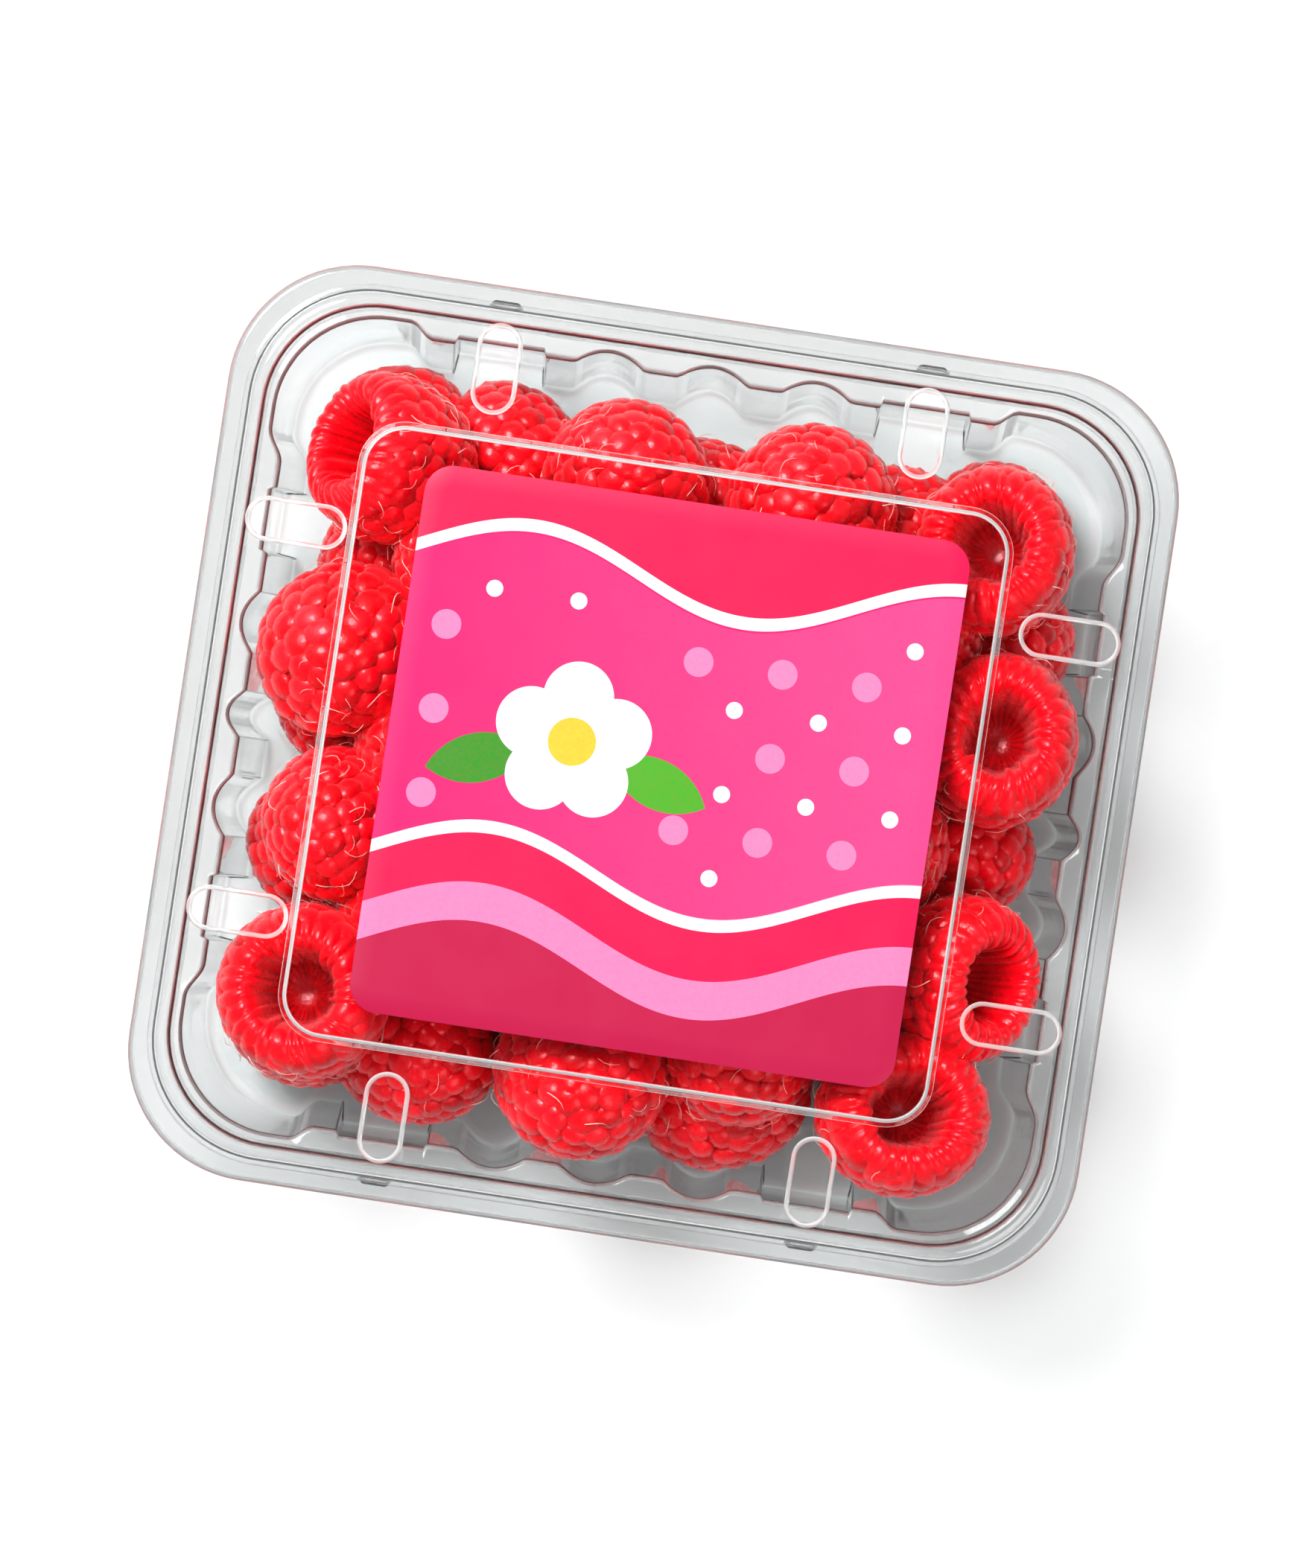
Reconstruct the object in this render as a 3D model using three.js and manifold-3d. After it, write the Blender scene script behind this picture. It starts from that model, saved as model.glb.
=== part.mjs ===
// A shut clear punnet of raspberries: a tray with fluted walls, a lid with a raised panel and eight vents,
// a square label stuck on the panel, and the heap of fruit inside. Millimetres, +Z up, resting on z = 0.
import * as THREE from 'three';
import { mergeVertices } from 'three/addons/utils/BufferGeometryUtils.js';
import Module from 'manifold-3d';

// The lid's outer edge, and the sheet that tray and lid are formed from
const LENGTH = 136;
const WIDTH = 131;
const EDGE_CORNER = 18.5;
const SHEET = 0.45;

// Heights of the undersides of the formed sheets
const LEDGE_Z = 27.5;
const TRAY_FLANGE_Z = 33;
const LID_FLANGE_Z = 33.8;
const LID_LIP_Z = 31.9;
const SHOULDER_Z = 40.4;
const PANEL_Z = 43;

// Tray wall: distances in from the lid's edge, on the flats between the flutes
const FOOT_IN = 12.2;
const FOOT_FLUTE = 2.9;
const FOOT_ROUND = 1.9;
const FOOT_CORNER = 14;
const LEDGE_IN = 8.6;
const LEDGE_FLUTE = 2;
const LEDGE_POCKET = 0.7;
const LEDGE_CORNER = 15;
const LEDGE_RISE = 0.4;
const RIM_IN = 5.6;
const RIM_DRAFT = 0.5;
const RIM_CORNER = 15.5;
const TRAY_EDGE_IN = 0.85;

// Lid: distances in from its own edge
const LID_WALL_FOOT_IN = 2.9;
const LID_WALL_TOP_IN = 3.9;
const PANEL_FOOT_IN = 21.6;
const PANEL_TOP_IN = 22.3;
const PANEL_CORNER = 5.6;
const PANEL_SHIFT = -1.1;
const SHOULDER_FALL = 0.3;

// Vents through the lid's shoulder and the pockets below them
const VENT_WIDTH = 5.4;
const VENT_START_IN = 6;
const VENT_STEPS = 8;
const POCKET_STEP = 0.4;

// Front and back sides, then left and right sides: flute centres and widths, vent place and reach,
// pocket width, and where the rounded corner flute starts and is full
const LONG_SIDE = {
  flutes: [[-14.8, 9.9], [0, 9.9], [14.8, 9.9]],
  ventAt: 30.5,
  ventEndIn: 18,
  pocket: 12.7,
  cornerFrom: 40.3,
  cornerFull: 43.6,
};
const SHORT_SIDE = {
  flutes: [[-13.2, 8.7], [0, 6.4], [13.2, 8.7]],
  ventAt: 27.8,
  ventEndIn: 19.5,
  pocket: 9.1,
  cornerFrom: 36,
  cornerFull: 40.8,
};
const FLUTE_STEPS = 5;
const CORNER_STEPS = 7;

// Snap nubs on the lid's front and back walls
const NUB_WIDTH = 4.4;
const NUB_TAPER = 0.6;
const NUB_OUT = 0.9;
const NUB_HEIGHT = 2.2;
const NUB_Z = 35.6;

// Label
const LABEL_LENGTH = 77.8;
const LABEL_WIDTH = 78.1;
const LABEL_CORNER = 4.1;
const LABEL_SHIFT = 0.9;
const LABEL_THICK = 0.22;
const LABEL_GAP = 0.05;
const LABEL_STEPS = 6;

// Upper berries as they lie: x and y of the middle, height of the top, size across x and y, length,
// compass direction of the cup's mouth and its lean from straight up, in degrees
const UPPER_BERRIES = [
  [-42.0, 38.3, 39.4, 22.0, 24.6, 23.5, 165, 52],
  [-9.7, 41.3, 39.4, 24.6, 23.6, 23.5, 250, 160],
  [16.1, 41.2, 39.6, 25.0, 24.8, 24.0, 300, 166],
  [43.6, 38.4, 39.5, 22.8, 24.6, 23.0, 135, 12],
  [47.8, 11.9, 39.5, 22.4, 25.4, 23.0, 90, 8],
  [46.2, -21.9, 39.4, 21.2, 24.6, 21.5, 358, 40],
  [41.7, -42.6, 39.5, 25.4, 23.8, 23.0, 40, 12],
  [18.0, -37.0, 38.6, 22.6, 22.6, 23.0, 80, 158],
  [-3.6, -44.4, 39.2, 25.6, 24.0, 24.0, 100, 150],
  [-44.0, -37.8, 39.5, 25.0, 25.4, 23.5, 170, 10],
  [-43.7, -13.8, 38.8, 21.8, 23.2, 23.0, 20, 162],
  [-46.2, 10.3, 39.4, 25.0, 27.0, 21.5, 60, 152],
];
const CUP_LEAN = 90;

// Berries that rise from the core inside the upper ring, mostly under the label: x, y, top and size, tip up
const INNER_BERRIES = [
  [-31.5, 25.5, 37.0, 21.0], [-32.5, -1.5, 37.5, 21.4], [-31.0, -25.5, 36.8, 20.8],
  [33.0, 25.0, 37.2, 20.8], [33.0, -5.0, 37.4, 21.6], [28.5, -25.5, 36.6, 20.6],
  [5.0, 24.5, 36.8, 21.2], [6.5, -26.0, 36.8, 21.0],
];
const INNER_LEAN = [150, 172];

// Lower berries: x and y of the middle, and size
const LOWER_BERRIES = [
  [-44.6, -42.0, 20.2], [-26.2, -43.6, 22.6], [-5.0, -42.0, 20.0], [17.6, -42.8, 23.4], [42.4, -42.0, 20.2],
  [-43.8, -15.6, 21.4], [-22.6, -20.6, 20.4], [0.4, -20.6, 20.0], [22.8, -20.6, 20.4], [44.0, -22.0, 20.2],
  [-45.2, 3.5, 20.0], [-22.2, 0.8, 20.2], [0.8, 0.8, 20.4], [22.6, 0.8, 20.0], [45.8, -4.0, 20.8],
  [-42.5, 22.5, 20.2], [-22.8, 21.8, 20.4], [0.2, 21.8, 20.0], [23.0, 21.8, 20.2], [45.4, 25.0, 20.6],
  [-42.6, 41.0, 20.4], [-26.0, 40.4, 22.4], [2.2, 39.2, 20.2], [29.4, 37.2, 20.6], [44.2, 41.6, 20.0],
];
const LOWER_REST_Z = 0.9;
const LOWER_LEAN = [105, 150];

// Berry outline from tip to mouth and down into the cup: radius and height as shares of the berry's size
const BERRY_SKIN = [[0, -0.5], [0.5, -0.42], [0.82, -0.24], [0.99, 0.02], [0.98, 0.24], [0.84, 0.42]];
const BERRY_CUP = [[0.62, 0.48], [0.47, 0.38], [0.38, 0.12], [0, 0.0]];
const BERRY_CLOSED = [[0.5, 0.5], [0, 0.5]];
const UPPER_SIDES = 14;
const LOWER_SIDES = 10;
const LUMP = 0.03;

// Core that the berries are fused to
const CORE_LENGTH = 82;
const CORE_WIDTH = 78;
const CORE_CORNER = 12;
const CORE_FROM_Z = 9;
const CORE_TO_Z = 31;
const SEED = 7;

const wasm = await Module();
wasm.setup();

// Turns a closed geometry into a solid that can be joined and cut
function solid(geometry) {
  const bare = geometry.index ? geometry.toNonIndexed() : geometry.clone();
  bare.deleteAttribute('normal');
  bare.deleteAttribute('uv');
  const merged = mergeVertices(bare, 1e-4);
  const index = merged.index.array;
  const faces = [];
  for (let i = 0; i < index.length; i += 3) {
    const [a, b, c] = [index[i], index[i + 1], index[i + 2]];
    if (a !== b && b !== c && c !== a) faces.push(a, b, c);
  }
  return new wasm.Manifold(new wasm.Mesh({
    numProp: 3,
    vertProperties: new Float32Array(merged.attributes.position.array),
    triVerts: new Uint32Array(faces),
  }));
}

function mesh(name, body, material) {
  const out = body.getMesh();
  const geometry = new THREE.BufferGeometry();
  geometry.setAttribute('position', new THREE.BufferAttribute(out.vertProperties, 3));
  geometry.setIndex(new THREE.BufferAttribute(out.triVerts, 1));
  geometry.computeVertexNormals();
  const made = new THREE.Mesh(geometry, material);
  made.name = name;
  return made;
}

// The four sides counter-clockwise from the front: direction along, direction out, half sizes and features
const SIDES = [
  { along: [1, 0], out: [0, -1], reach: WIDTH / 2, half: LENGTH / 2, form: LONG_SIDE },
  { along: [0, 1], out: [1, 0], reach: LENGTH / 2, half: WIDTH / 2, form: SHORT_SIDE },
  { along: [-1, 0], out: [0, 1], reach: WIDTH / 2, half: LENGTH / 2, form: LONG_SIDE },
  { along: [0, -1], out: [-1, 0], reach: LENGTH / 2, half: WIDTH / 2, form: SHORT_SIDE },
];

function onSide(side, along, inset) {
  const away = side.reach - inset;
  return [
    side.along[0] * along + side.out[0] * away,
    side.along[1] * along + side.out[1] * away,
  ];
}

// Stations along a fluted side: place, share of the flute's depth, share of the pocket's depth
function stations(form) {
  const list = [];
  for (const [centre, width] of form.flutes) {
    for (let i = 0; i <= FLUTE_STEPS; i += 1) {
      const across = 2 * i / FLUTE_STEPS - 1;
      list.push([centre + across * width / 2, 1 - across * across, 0]);
    }
  }
  for (const end of [-1, 1]) {
    const near = end * (form.ventAt - form.pocket / 2);
    const far = end * (form.ventAt + form.pocket / 2);
    list.push([near - end * POCKET_STEP, 0, 0]);
    list.push([near, 0, 1]);
    list.push([far, 0, 1]);
    list.push([far + end * POCKET_STEP, 0, 0]);
    list.push([end * form.cornerFrom, 0, 0]);
    list.push([end * (form.cornerFrom * 0.45 + form.cornerFull * 0.55), 0.7, 0]);
    list.push([end * form.cornerFull, 1, 0]);
  }
  return list.sort((a, b) => a[0] - b[0]);
}

// One closed ring round the punnet at a height. Each point keeps its place round the ring for stitching.
function ring({ inset, z, corner, flute = 0, pocket = 0, shift = 0 }) {
  const points = [];
  const cornerInset = inset - flute;
  for (let k = 0; k < SIDES.length; k += 1) {
    const side = SIDES[k];
    const end = side.half - cornerInset - corner;
    if (flute > 0) {
      for (const [along, fluted, pocketed] of stations(side.form)) {
        const [x, y] = onSide(side, along, inset - flute * fluted - pocket * pocketed);
        points.push({ x: x + shift, y, z, t: 2 * k + 0.5 + along / (2 * side.half) });
      }
    }
    const middle = onSide(side, end, cornerInset + corner);
    for (let i = 0; i <= CORNER_STEPS; i += 1) {
      const turn = (i / CORNER_STEPS) * Math.PI / 2;
      const outward = corner * Math.cos(turn);
      const onward = corner * Math.sin(turn);
      const x = middle[0] + side.out[0] * outward + side.along[0] * onward;
      const y = middle[1] + side.out[1] * outward + side.along[1] * onward;
      points.push({ x: x + shift, y, z, t: 2 * k + 1 + i / CORNER_STEPS });
    }
  }
  return points;
}

// The other face of a formed sheet: its section moved over by the sheet's thickness
function otherFace(section) {
  const normals = [];
  for (let i = 0; i + 1 < section.length; i += 1) {
    const across = section[i].inset - section[i + 1].inset;
    const up = section[i + 1].z - section[i].z;
    const long = Math.hypot(across, up);
    normals.push([-up / long, across / long]);
  }
  return section.map((level, i) => {
    const before = normals[Math.max(i - 1, 0)];
    const after = normals[Math.min(i, normals.length - 1)];
    const share = SHEET / (1 + before[0] * after[0] + before[1] * after[1]);
    const outward = (before[0] + after[0]) * share;
    return {
      ...level,
      inset: level.inset - outward,
      z: level.z + (before[1] + after[1]) * share,
      corner: level.corner + outward,
    };
  });
}

// A closed sheet from the section of its lower face, listed from the middle outwards
function formedSheet(section) {
  const levels = [...section, ...otherFace(section).reverse()];
  const rings = levels.map(ring);
  const position = [];
  for (const points of rings) {
    points.first = position.length / 3;
    for (const p of points) position.push(p.x, p.y, p.z);
  }
  const faces = [];
  for (let r = 0; r + 1 < rings.length; r += 1) {
    const a = rings[r];
    const b = rings[r + 1];
    let i = 0;
    let j = 0;
    while (i < a.length || j < b.length) {
      const nextA = i + 1 < a.length ? a[i + 1].t : a[0].t + 2 * SIDES.length;
      const nextB = j + 1 < b.length ? b[j + 1].t : b[0].t + 2 * SIDES.length;
      const here = [a.first + i % a.length, b.first + j % b.length];
      if (j === b.length || (i < a.length && nextA <= nextB)) {
        i += 1;
        faces.push(here[0], a.first + i % a.length, here[1]);
      } else {
        j += 1;
        faces.push(here[0], b.first + j % b.length, here[1]);
      }
    }
  }
  const lower = rings[0];
  const upper = rings[rings.length - 1];
  const lowerMiddle = position.length / 3;
  position.push(0, 0, lower[0].z);
  position.push(0, 0, upper[0].z);
  for (let i = 0; i < lower.length; i += 1) {
    const next = (i + 1) % lower.length;
    faces.push(lowerMiddle, lower.first + next, lower.first + i);
  }
  for (let i = 0; i < upper.length; i += 1) {
    const next = (i + 1) % upper.length;
    faces.push(lowerMiddle + 1, upper.first + i, upper.first + next);
  }
  const geometry = new THREE.BufferGeometry();
  geometry.setAttribute('position', new THREE.Float32BufferAttribute(position, 3));
  geometry.setIndex(faces);
  return solid(geometry);
}

function roundedSquare(length, width, corner, steps, thick) {
  const shape = new THREE.Shape();
  const x = length / 2 - corner;
  const y = width / 2 - corner;
  shape.absarc(x, y, corner, 0, Math.PI / 2);
  shape.absarc(-x, y, corner, Math.PI / 2, Math.PI);
  shape.absarc(-x, -y, corner, Math.PI, 1.5 * Math.PI);
  shape.absarc(x, -y, corner, 1.5 * Math.PI, 2 * Math.PI);
  return new THREE.ExtrudeGeometry(shape, { depth: thick, bevelEnabled: false, curveSegments: steps });
}

function makeTray() {
  const flat = FOOT_IN + FOOT_ROUND;
  return formedSheet([
    { inset: flat, z: 0, corner: FOOT_CORNER - FOOT_ROUND, flute: FOOT_FLUTE, pocket: FOOT_FLUTE },
    {
      inset: FOOT_IN + 0.3 * FOOT_ROUND,
      z: 0.3 * FOOT_ROUND,
      corner: FOOT_CORNER - 0.3 * FOOT_ROUND,
      flute: FOOT_FLUTE,
      pocket: FOOT_FLUTE,
    },
    { inset: FOOT_IN, z: FOOT_ROUND, corner: FOOT_CORNER, flute: FOOT_FLUTE, pocket: FOOT_FLUTE },
    { inset: LEDGE_IN, z: LEDGE_Z, corner: LEDGE_CORNER, flute: LEDGE_FLUTE, pocket: LEDGE_POCKET },
    { inset: RIM_IN, z: LEDGE_Z + LEDGE_RISE, corner: RIM_CORNER },
    { inset: RIM_IN - RIM_DRAFT, z: TRAY_FLANGE_Z, corner: RIM_CORNER + RIM_DRAFT },
    { inset: TRAY_EDGE_IN, z: TRAY_FLANGE_Z, corner: EDGE_CORNER - TRAY_EDGE_IN },
  ]);
}

function makeVent(side, at) {
  const length = side.form.ventEndIn - VENT_START_IN;
  const shape = new THREE.Shape();
  const radius = VENT_WIDTH / 2;
  const reach = length / 2 - radius;
  shape.absarc(0, reach, radius, 0, Math.PI);
  shape.absarc(0, -reach, radius, Math.PI, 2 * Math.PI);
  const depth = PANEL_Z - LID_LIP_Z;
  const settings = { depth, bevelEnabled: false, curveSegments: VENT_STEPS };
  const geometry = new THREE.ExtrudeGeometry(shape, settings);
  geometry.rotateZ(Math.atan2(side.out[1], side.out[0]) - Math.PI / 2);
  const [x, y] = onSide(side, at, VENT_START_IN + length / 2);
  geometry.translate(x, y, LID_FLANGE_Z + SHEET);
  return solid(geometry);
}

function makeNub(side, at) {
  const shape = new THREE.Shape();
  shape.moveTo(-NUB_WIDTH / 2, -NUB_OUT);
  shape.lineTo(NUB_WIDTH / 2, -NUB_OUT);
  shape.lineTo(NUB_WIDTH / 2 - NUB_TAPER, NUB_OUT);
  shape.lineTo(NUB_TAPER - NUB_WIDTH / 2, NUB_OUT);
  const geometry = new THREE.ExtrudeGeometry(shape, { depth: NUB_HEIGHT, bevelEnabled: false });
  geometry.rotateZ(Math.atan2(side.out[1], side.out[0]) - Math.PI / 2);
  const [x, y] = onSide(side, at, LID_WALL_FOOT_IN + SHEET / 2);
  geometry.translate(x, y, NUB_Z);
  return solid(geometry);
}

function makeLid() {
  const edgeIn = SHEET;
  const formed = formedSheet([
    { inset: PANEL_TOP_IN, z: PANEL_Z, corner: PANEL_CORNER, shift: PANEL_SHIFT },
    { inset: PANEL_FOOT_IN, z: SHOULDER_Z, corner: PANEL_CORNER + 0.7, shift: PANEL_SHIFT },
    { inset: LID_WALL_TOP_IN, z: SHOULDER_Z - SHOULDER_FALL, corner: RIM_CORNER + 1 },
    { inset: LID_WALL_FOOT_IN, z: LID_FLANGE_Z, corner: RIM_CORNER + 2 },
    { inset: edgeIn, z: LID_FLANGE_Z, corner: EDGE_CORNER - edgeIn },
    { inset: edgeIn, z: LID_LIP_Z, corner: EDGE_CORNER - edgeIn },
  ]);
  const vents = [];
  const nubs = [];
  for (const side of SIDES) {
    for (const end of [-1, 1]) {
      vents.push(makeVent(side, end * side.form.ventAt));
      if (side.form === LONG_SIDE) nubs.push(makeNub(side, end * side.form.ventAt));
    }
  }
  return wasm.Manifold.union([formed, ...nubs]).subtract(wasm.Manifold.union(vents));
}

// Repeatable draw between 0 and 1
let drawn = SEED;
function draw() {
  drawn = (drawn * 16807) % 2147483647;
  return drawn / 2147483647;
}

function makeBerry([acrossX, acrossY, length, compass, lean], sides, open) {
  const outline = [...BERRY_SKIN, ...(open ? BERRY_CUP : BERRY_CLOSED)];
  const geometry = new THREE.LatheGeometry(outline.map(([r, h]) => new THREE.Vector2(r, h)), sides);
  const position = geometry.attributes.position;
  const rows = outline.length;
  for (let i = 0; i < position.count; i += 1) {
    const around = Math.floor(i / rows) % sides;
    const swell = 1 + ((around + i % rows) % 2 === 0 ? LUMP : -LUMP);
    position.setX(i, position.getX(i) * swell);
    position.setZ(i, position.getZ(i) * swell);
  }
  geometry.rotateX(Math.PI / 2);
  geometry.scale(acrossX / 2, acrossY / 2, length);
  const tilt = THREE.MathUtils.degToRad(lean);
  const turn = THREE.MathUtils.degToRad(compass);
  const mouth = new THREE.Vector3(
    Math.sin(tilt) * Math.cos(turn),
    Math.sin(tilt) * Math.sin(turn),
    Math.cos(tilt),
  );
  geometry.applyQuaternion(new THREE.Quaternion().setFromUnitVectors(new THREE.Vector3(0, 0, 1), mouth));
  geometry.computeBoundingBox();
  return geometry;
}

function makeHeap() {
  const core = roundedSquare(CORE_LENGTH, CORE_WIDTH, CORE_CORNER, LABEL_STEPS, CORE_TO_Z - CORE_FROM_Z);
  core.translate(0, 0, CORE_FROM_Z);
  const bodies = [solid(core)];
  for (const [x, y, top, ...form] of UPPER_BERRIES) {
    const berry = makeBerry(form, UPPER_SIDES, form[4] < CUP_LEAN);
    berry.translate(x, y, top - berry.boundingBox.max.z);
    bodies.push(solid(berry));
  }
  for (const [x, y, top, size] of INNER_BERRIES) {
    const lean = INNER_LEAN[0] + (INNER_LEAN[1] - INNER_LEAN[0]) * draw();
    const berry = makeBerry([size, size, size, 360 * draw(), lean], LOWER_SIDES, false);
    berry.translate(x, y, top - berry.boundingBox.max.z);
    bodies.push(solid(berry));
  }
  for (const [x, y, size] of LOWER_BERRIES) {
    const lean = LOWER_LEAN[0] + (LOWER_LEAN[1] - LOWER_LEAN[0]) * draw();
    const berry = makeBerry([size, size, size, 360 * draw(), lean], LOWER_SIDES, false);
    berry.translate(x, y, LOWER_REST_Z - berry.boundingBox.min.z);
    bodies.push(solid(berry));
  }
  const pieces = wasm.Manifold.union(bodies).decompose();
  pieces.sort((a, b) => b.volume() - a.volume());
  return pieces[0];
}

const clear = { color: 0xe9eef0, roughness: 0.06, metalness: 0, transparent: true, opacity: 0.3 };
const group = new THREE.Group();
group.name = 'raspberry_punnet';

group.add(mesh('tray', makeTray(), new THREE.MeshStandardMaterial(clear)));
group.add(mesh('lid', makeLid(), new THREE.MeshStandardMaterial(clear)));

const sticker = roundedSquare(LABEL_LENGTH, LABEL_WIDTH, LABEL_CORNER, LABEL_STEPS, LABEL_THICK);
sticker.translate(LABEL_SHIFT, 0, PANEL_Z + SHEET + LABEL_GAP);
const paper = new THREE.MeshStandardMaterial({ color: 0xf0207e, roughness: 0.45, metalness: 0 });
group.add(mesh('label', solid(sticker), paper));

const fruit = new THREE.MeshStandardMaterial({ color: 0xc2131c, roughness: 0.5, metalness: 0 });
group.add(mesh('raspberries', makeHeap(), fruit));

export default group;
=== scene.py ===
import math

import bmesh
import bpy
import numpy as np
from mathutils import Matrix, Vector


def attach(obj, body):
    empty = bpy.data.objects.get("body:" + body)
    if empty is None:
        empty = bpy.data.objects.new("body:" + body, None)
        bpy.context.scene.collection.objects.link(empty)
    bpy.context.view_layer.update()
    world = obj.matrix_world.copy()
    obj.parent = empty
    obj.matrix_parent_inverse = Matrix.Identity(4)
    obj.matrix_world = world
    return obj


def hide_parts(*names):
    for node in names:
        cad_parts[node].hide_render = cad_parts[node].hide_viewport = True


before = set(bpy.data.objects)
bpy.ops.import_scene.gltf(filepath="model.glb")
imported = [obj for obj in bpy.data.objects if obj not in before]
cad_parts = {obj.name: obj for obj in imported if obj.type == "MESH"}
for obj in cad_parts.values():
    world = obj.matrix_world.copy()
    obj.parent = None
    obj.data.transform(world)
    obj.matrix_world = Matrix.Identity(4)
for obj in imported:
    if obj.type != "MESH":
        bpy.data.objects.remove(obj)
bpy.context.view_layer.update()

MM = 0.001

# Sizes of the solids in mm, as in the part's source: lid edge, sheet and heights of the sheets' undersides
LENGTH, WIDTH, EDGE_CORNER = 136.0, 131.0, 18.5
SHEET = 0.45
LEDGE_Z, TRAY_FLANGE_Z, LID_FLANGE_Z, LID_LIP_Z = 27.5, 33.0, 33.8, 31.9
SHOULDER_Z, SHOULDER_FALL, PANEL_Z = 40.4, 0.3, 43.0

# Tray wall, as distances in from the lid's edge
FOOT_IN, FOOT_FLUTE, FOOT_ROUND, FOOT_CORNER = 12.2, 2.9, 1.9, 14.0
LEDGE_IN, LEDGE_FLUTE, LEDGE_POCKET, LEDGE_CORNER, LEDGE_RISE = 8.6, 2.0, 0.7, 15.0, 0.4
RIM_IN, RIM_DRAFT, RIM_CORNER, TRAY_EDGE_IN = 5.6, 0.5, 15.5, 0.85

# Lid, as distances in from its edge
LID_WALL_FOOT_IN, LID_WALL_TOP_IN, LID_FOOT_CORNER, LID_TOP_CORNER = 2.9, 3.9, 17.5, 16.5
PANEL_FOOT_IN, PANEL_TOP_IN, PANEL_CORNER, PANEL_DRAFT, PANEL_SHIFT = 21.6, 22.3, 5.6, 0.7, -1.1
VENT_WIDTH, VENT_START_IN, VENT_CUT_DEPTH = 5.4, 6.0, 3.0
# The last value is the share of white painted on the vents' beads, a whitened cut edge with a painted
# highlight
VENT_BEAD, VENT_BEAD_OUT, VENT_BEAD_NEAR, VENT_PAINTED_LINE = 0.34, 0.6, 1.15, 0.8
NUB_WIDTH, NUB_TAPER, NUB_OUT, NUB_HEIGHT, NUB_Z = 4.4, 0.6, 0.9, 2.2, 35.6
NUB_WAIST_OUT, NUB_WAIST_SIDE, NUB_WAIST_RISE = 0.7, 0.2, 0.25

# Bends of the sheets: reach to either side in mm, and the share of painted line along the bend, a painted
# white highlight line above nought and a painted grey shade line below it
FOOT_BEND, LEDGE_BEND, RIM_BEND, FLANGE_BEND = (FOOT_ROUND, 0.0), (0.45, -0.9), (0.45, -0.7), (0.6, -0.3)
PANEL_BEND, WALL_TOP_BEND, WALL_FOOT_BEND, EDGE_BEND = (0.17, 1.0), (1.0, -0.3), (0.5, -0.5), (0.5, -1.0)
FLAT_MARGIN = 4

# Front and back sides, then left and right sides
LONG_SIDE = dict(flutes=((-14.8, 9.9), (0.0, 9.9), (14.8, 9.9)), vent_at=30.5, vent_end=18.0,
                 pocket=12.7, corner_from=40.3, corner_full=43.6)
SHORT_SIDE = dict(flutes=((-13.2, 8.7), (0.0, 6.4), (13.2, 8.7)), vent_at=27.8, vent_end=19.5,
                  pocket=9.1, corner_from=36.0, corner_full=40.8)
SIDES = (
    dict(along=(1, 0), out=(0, -1), reach=WIDTH / 2, half=LENGTH / 2, form=LONG_SIDE),
    dict(along=(0, 1), out=(1, 0), reach=LENGTH / 2, half=WIDTH / 2, form=SHORT_SIDE),
    dict(along=(-1, 0), out=(0, 1), reach=WIDTH / 2, half=LENGTH / 2, form=LONG_SIDE),
    dict(along=(0, -1), out=(-1, 0), reach=LENGTH / 2, half=WIDTH / 2, form=SHORT_SIDE),
)
POCKET_RAMP, RAMP_REACH, RAMP_STATIONS = 0.5, 1.2, 9

# Label, and its edge as inset and height
LABEL_LENGTH, LABEL_WIDTH, LABEL_CORNER, LABEL_SHIFT = 77.8, 78.1, 4.1, 0.9
LABEL_THICK, LABEL_GAP = 0.22, 0.05
LABEL_EDGE = ((0.0, 0.0), (0.0, 0.15), (0.03, 0.2), (0.1, LABEL_THICK), (3.0, LABEL_THICK))

# Print of the label, in mm from its middle: waved bands from the bottom up, dots in the middle field
# and one blossom with two leaves
WAVE_LENGTH, WAVE_RISE, WAVE_PHASE = 62.0, 4.6, 0.7
BAND_COLOURS = ((0.0, "#B4053F"), (0.13, "#E27DAE"), (0.2, "#DA0048"), (0.29, "#E6DCE1"), (0.315, "#E00C66"),
                (0.84, "#E6DCE1"), (0.865, "#DA0048"))
FIELD_FROM, FIELD_TO, FIELD_MARGIN = 0.315, 0.84, 0.04
DOT_PITCH, DOT_EDGE = 12.0, 4.0
DOTS = (((0.25, 0.1, 0), 2.1, "#E27DAE"), ((0.75, 0.6, 0), 1.2, "#E6DCE1"))
BLOSSOM, BLOSSOM_CLEAR = (-13.0, 3.0, 0), 18.0
PETALS, PETAL_RADIUS, PETAL_OUT, PETAL_COLOUR = 5, 5.0, 6.4, "#E6DCE1"
EYE_RADIUS, EYE_COLOUR = 3.4, "#E8BE30"
LEAF_LENGTH, LEAF_WIDTH, LEAF_OUT = 15.0, 7.0, 13.5
LEAVES = ((198, "#2A8A19"), (342, "#3FA31A"))

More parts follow.
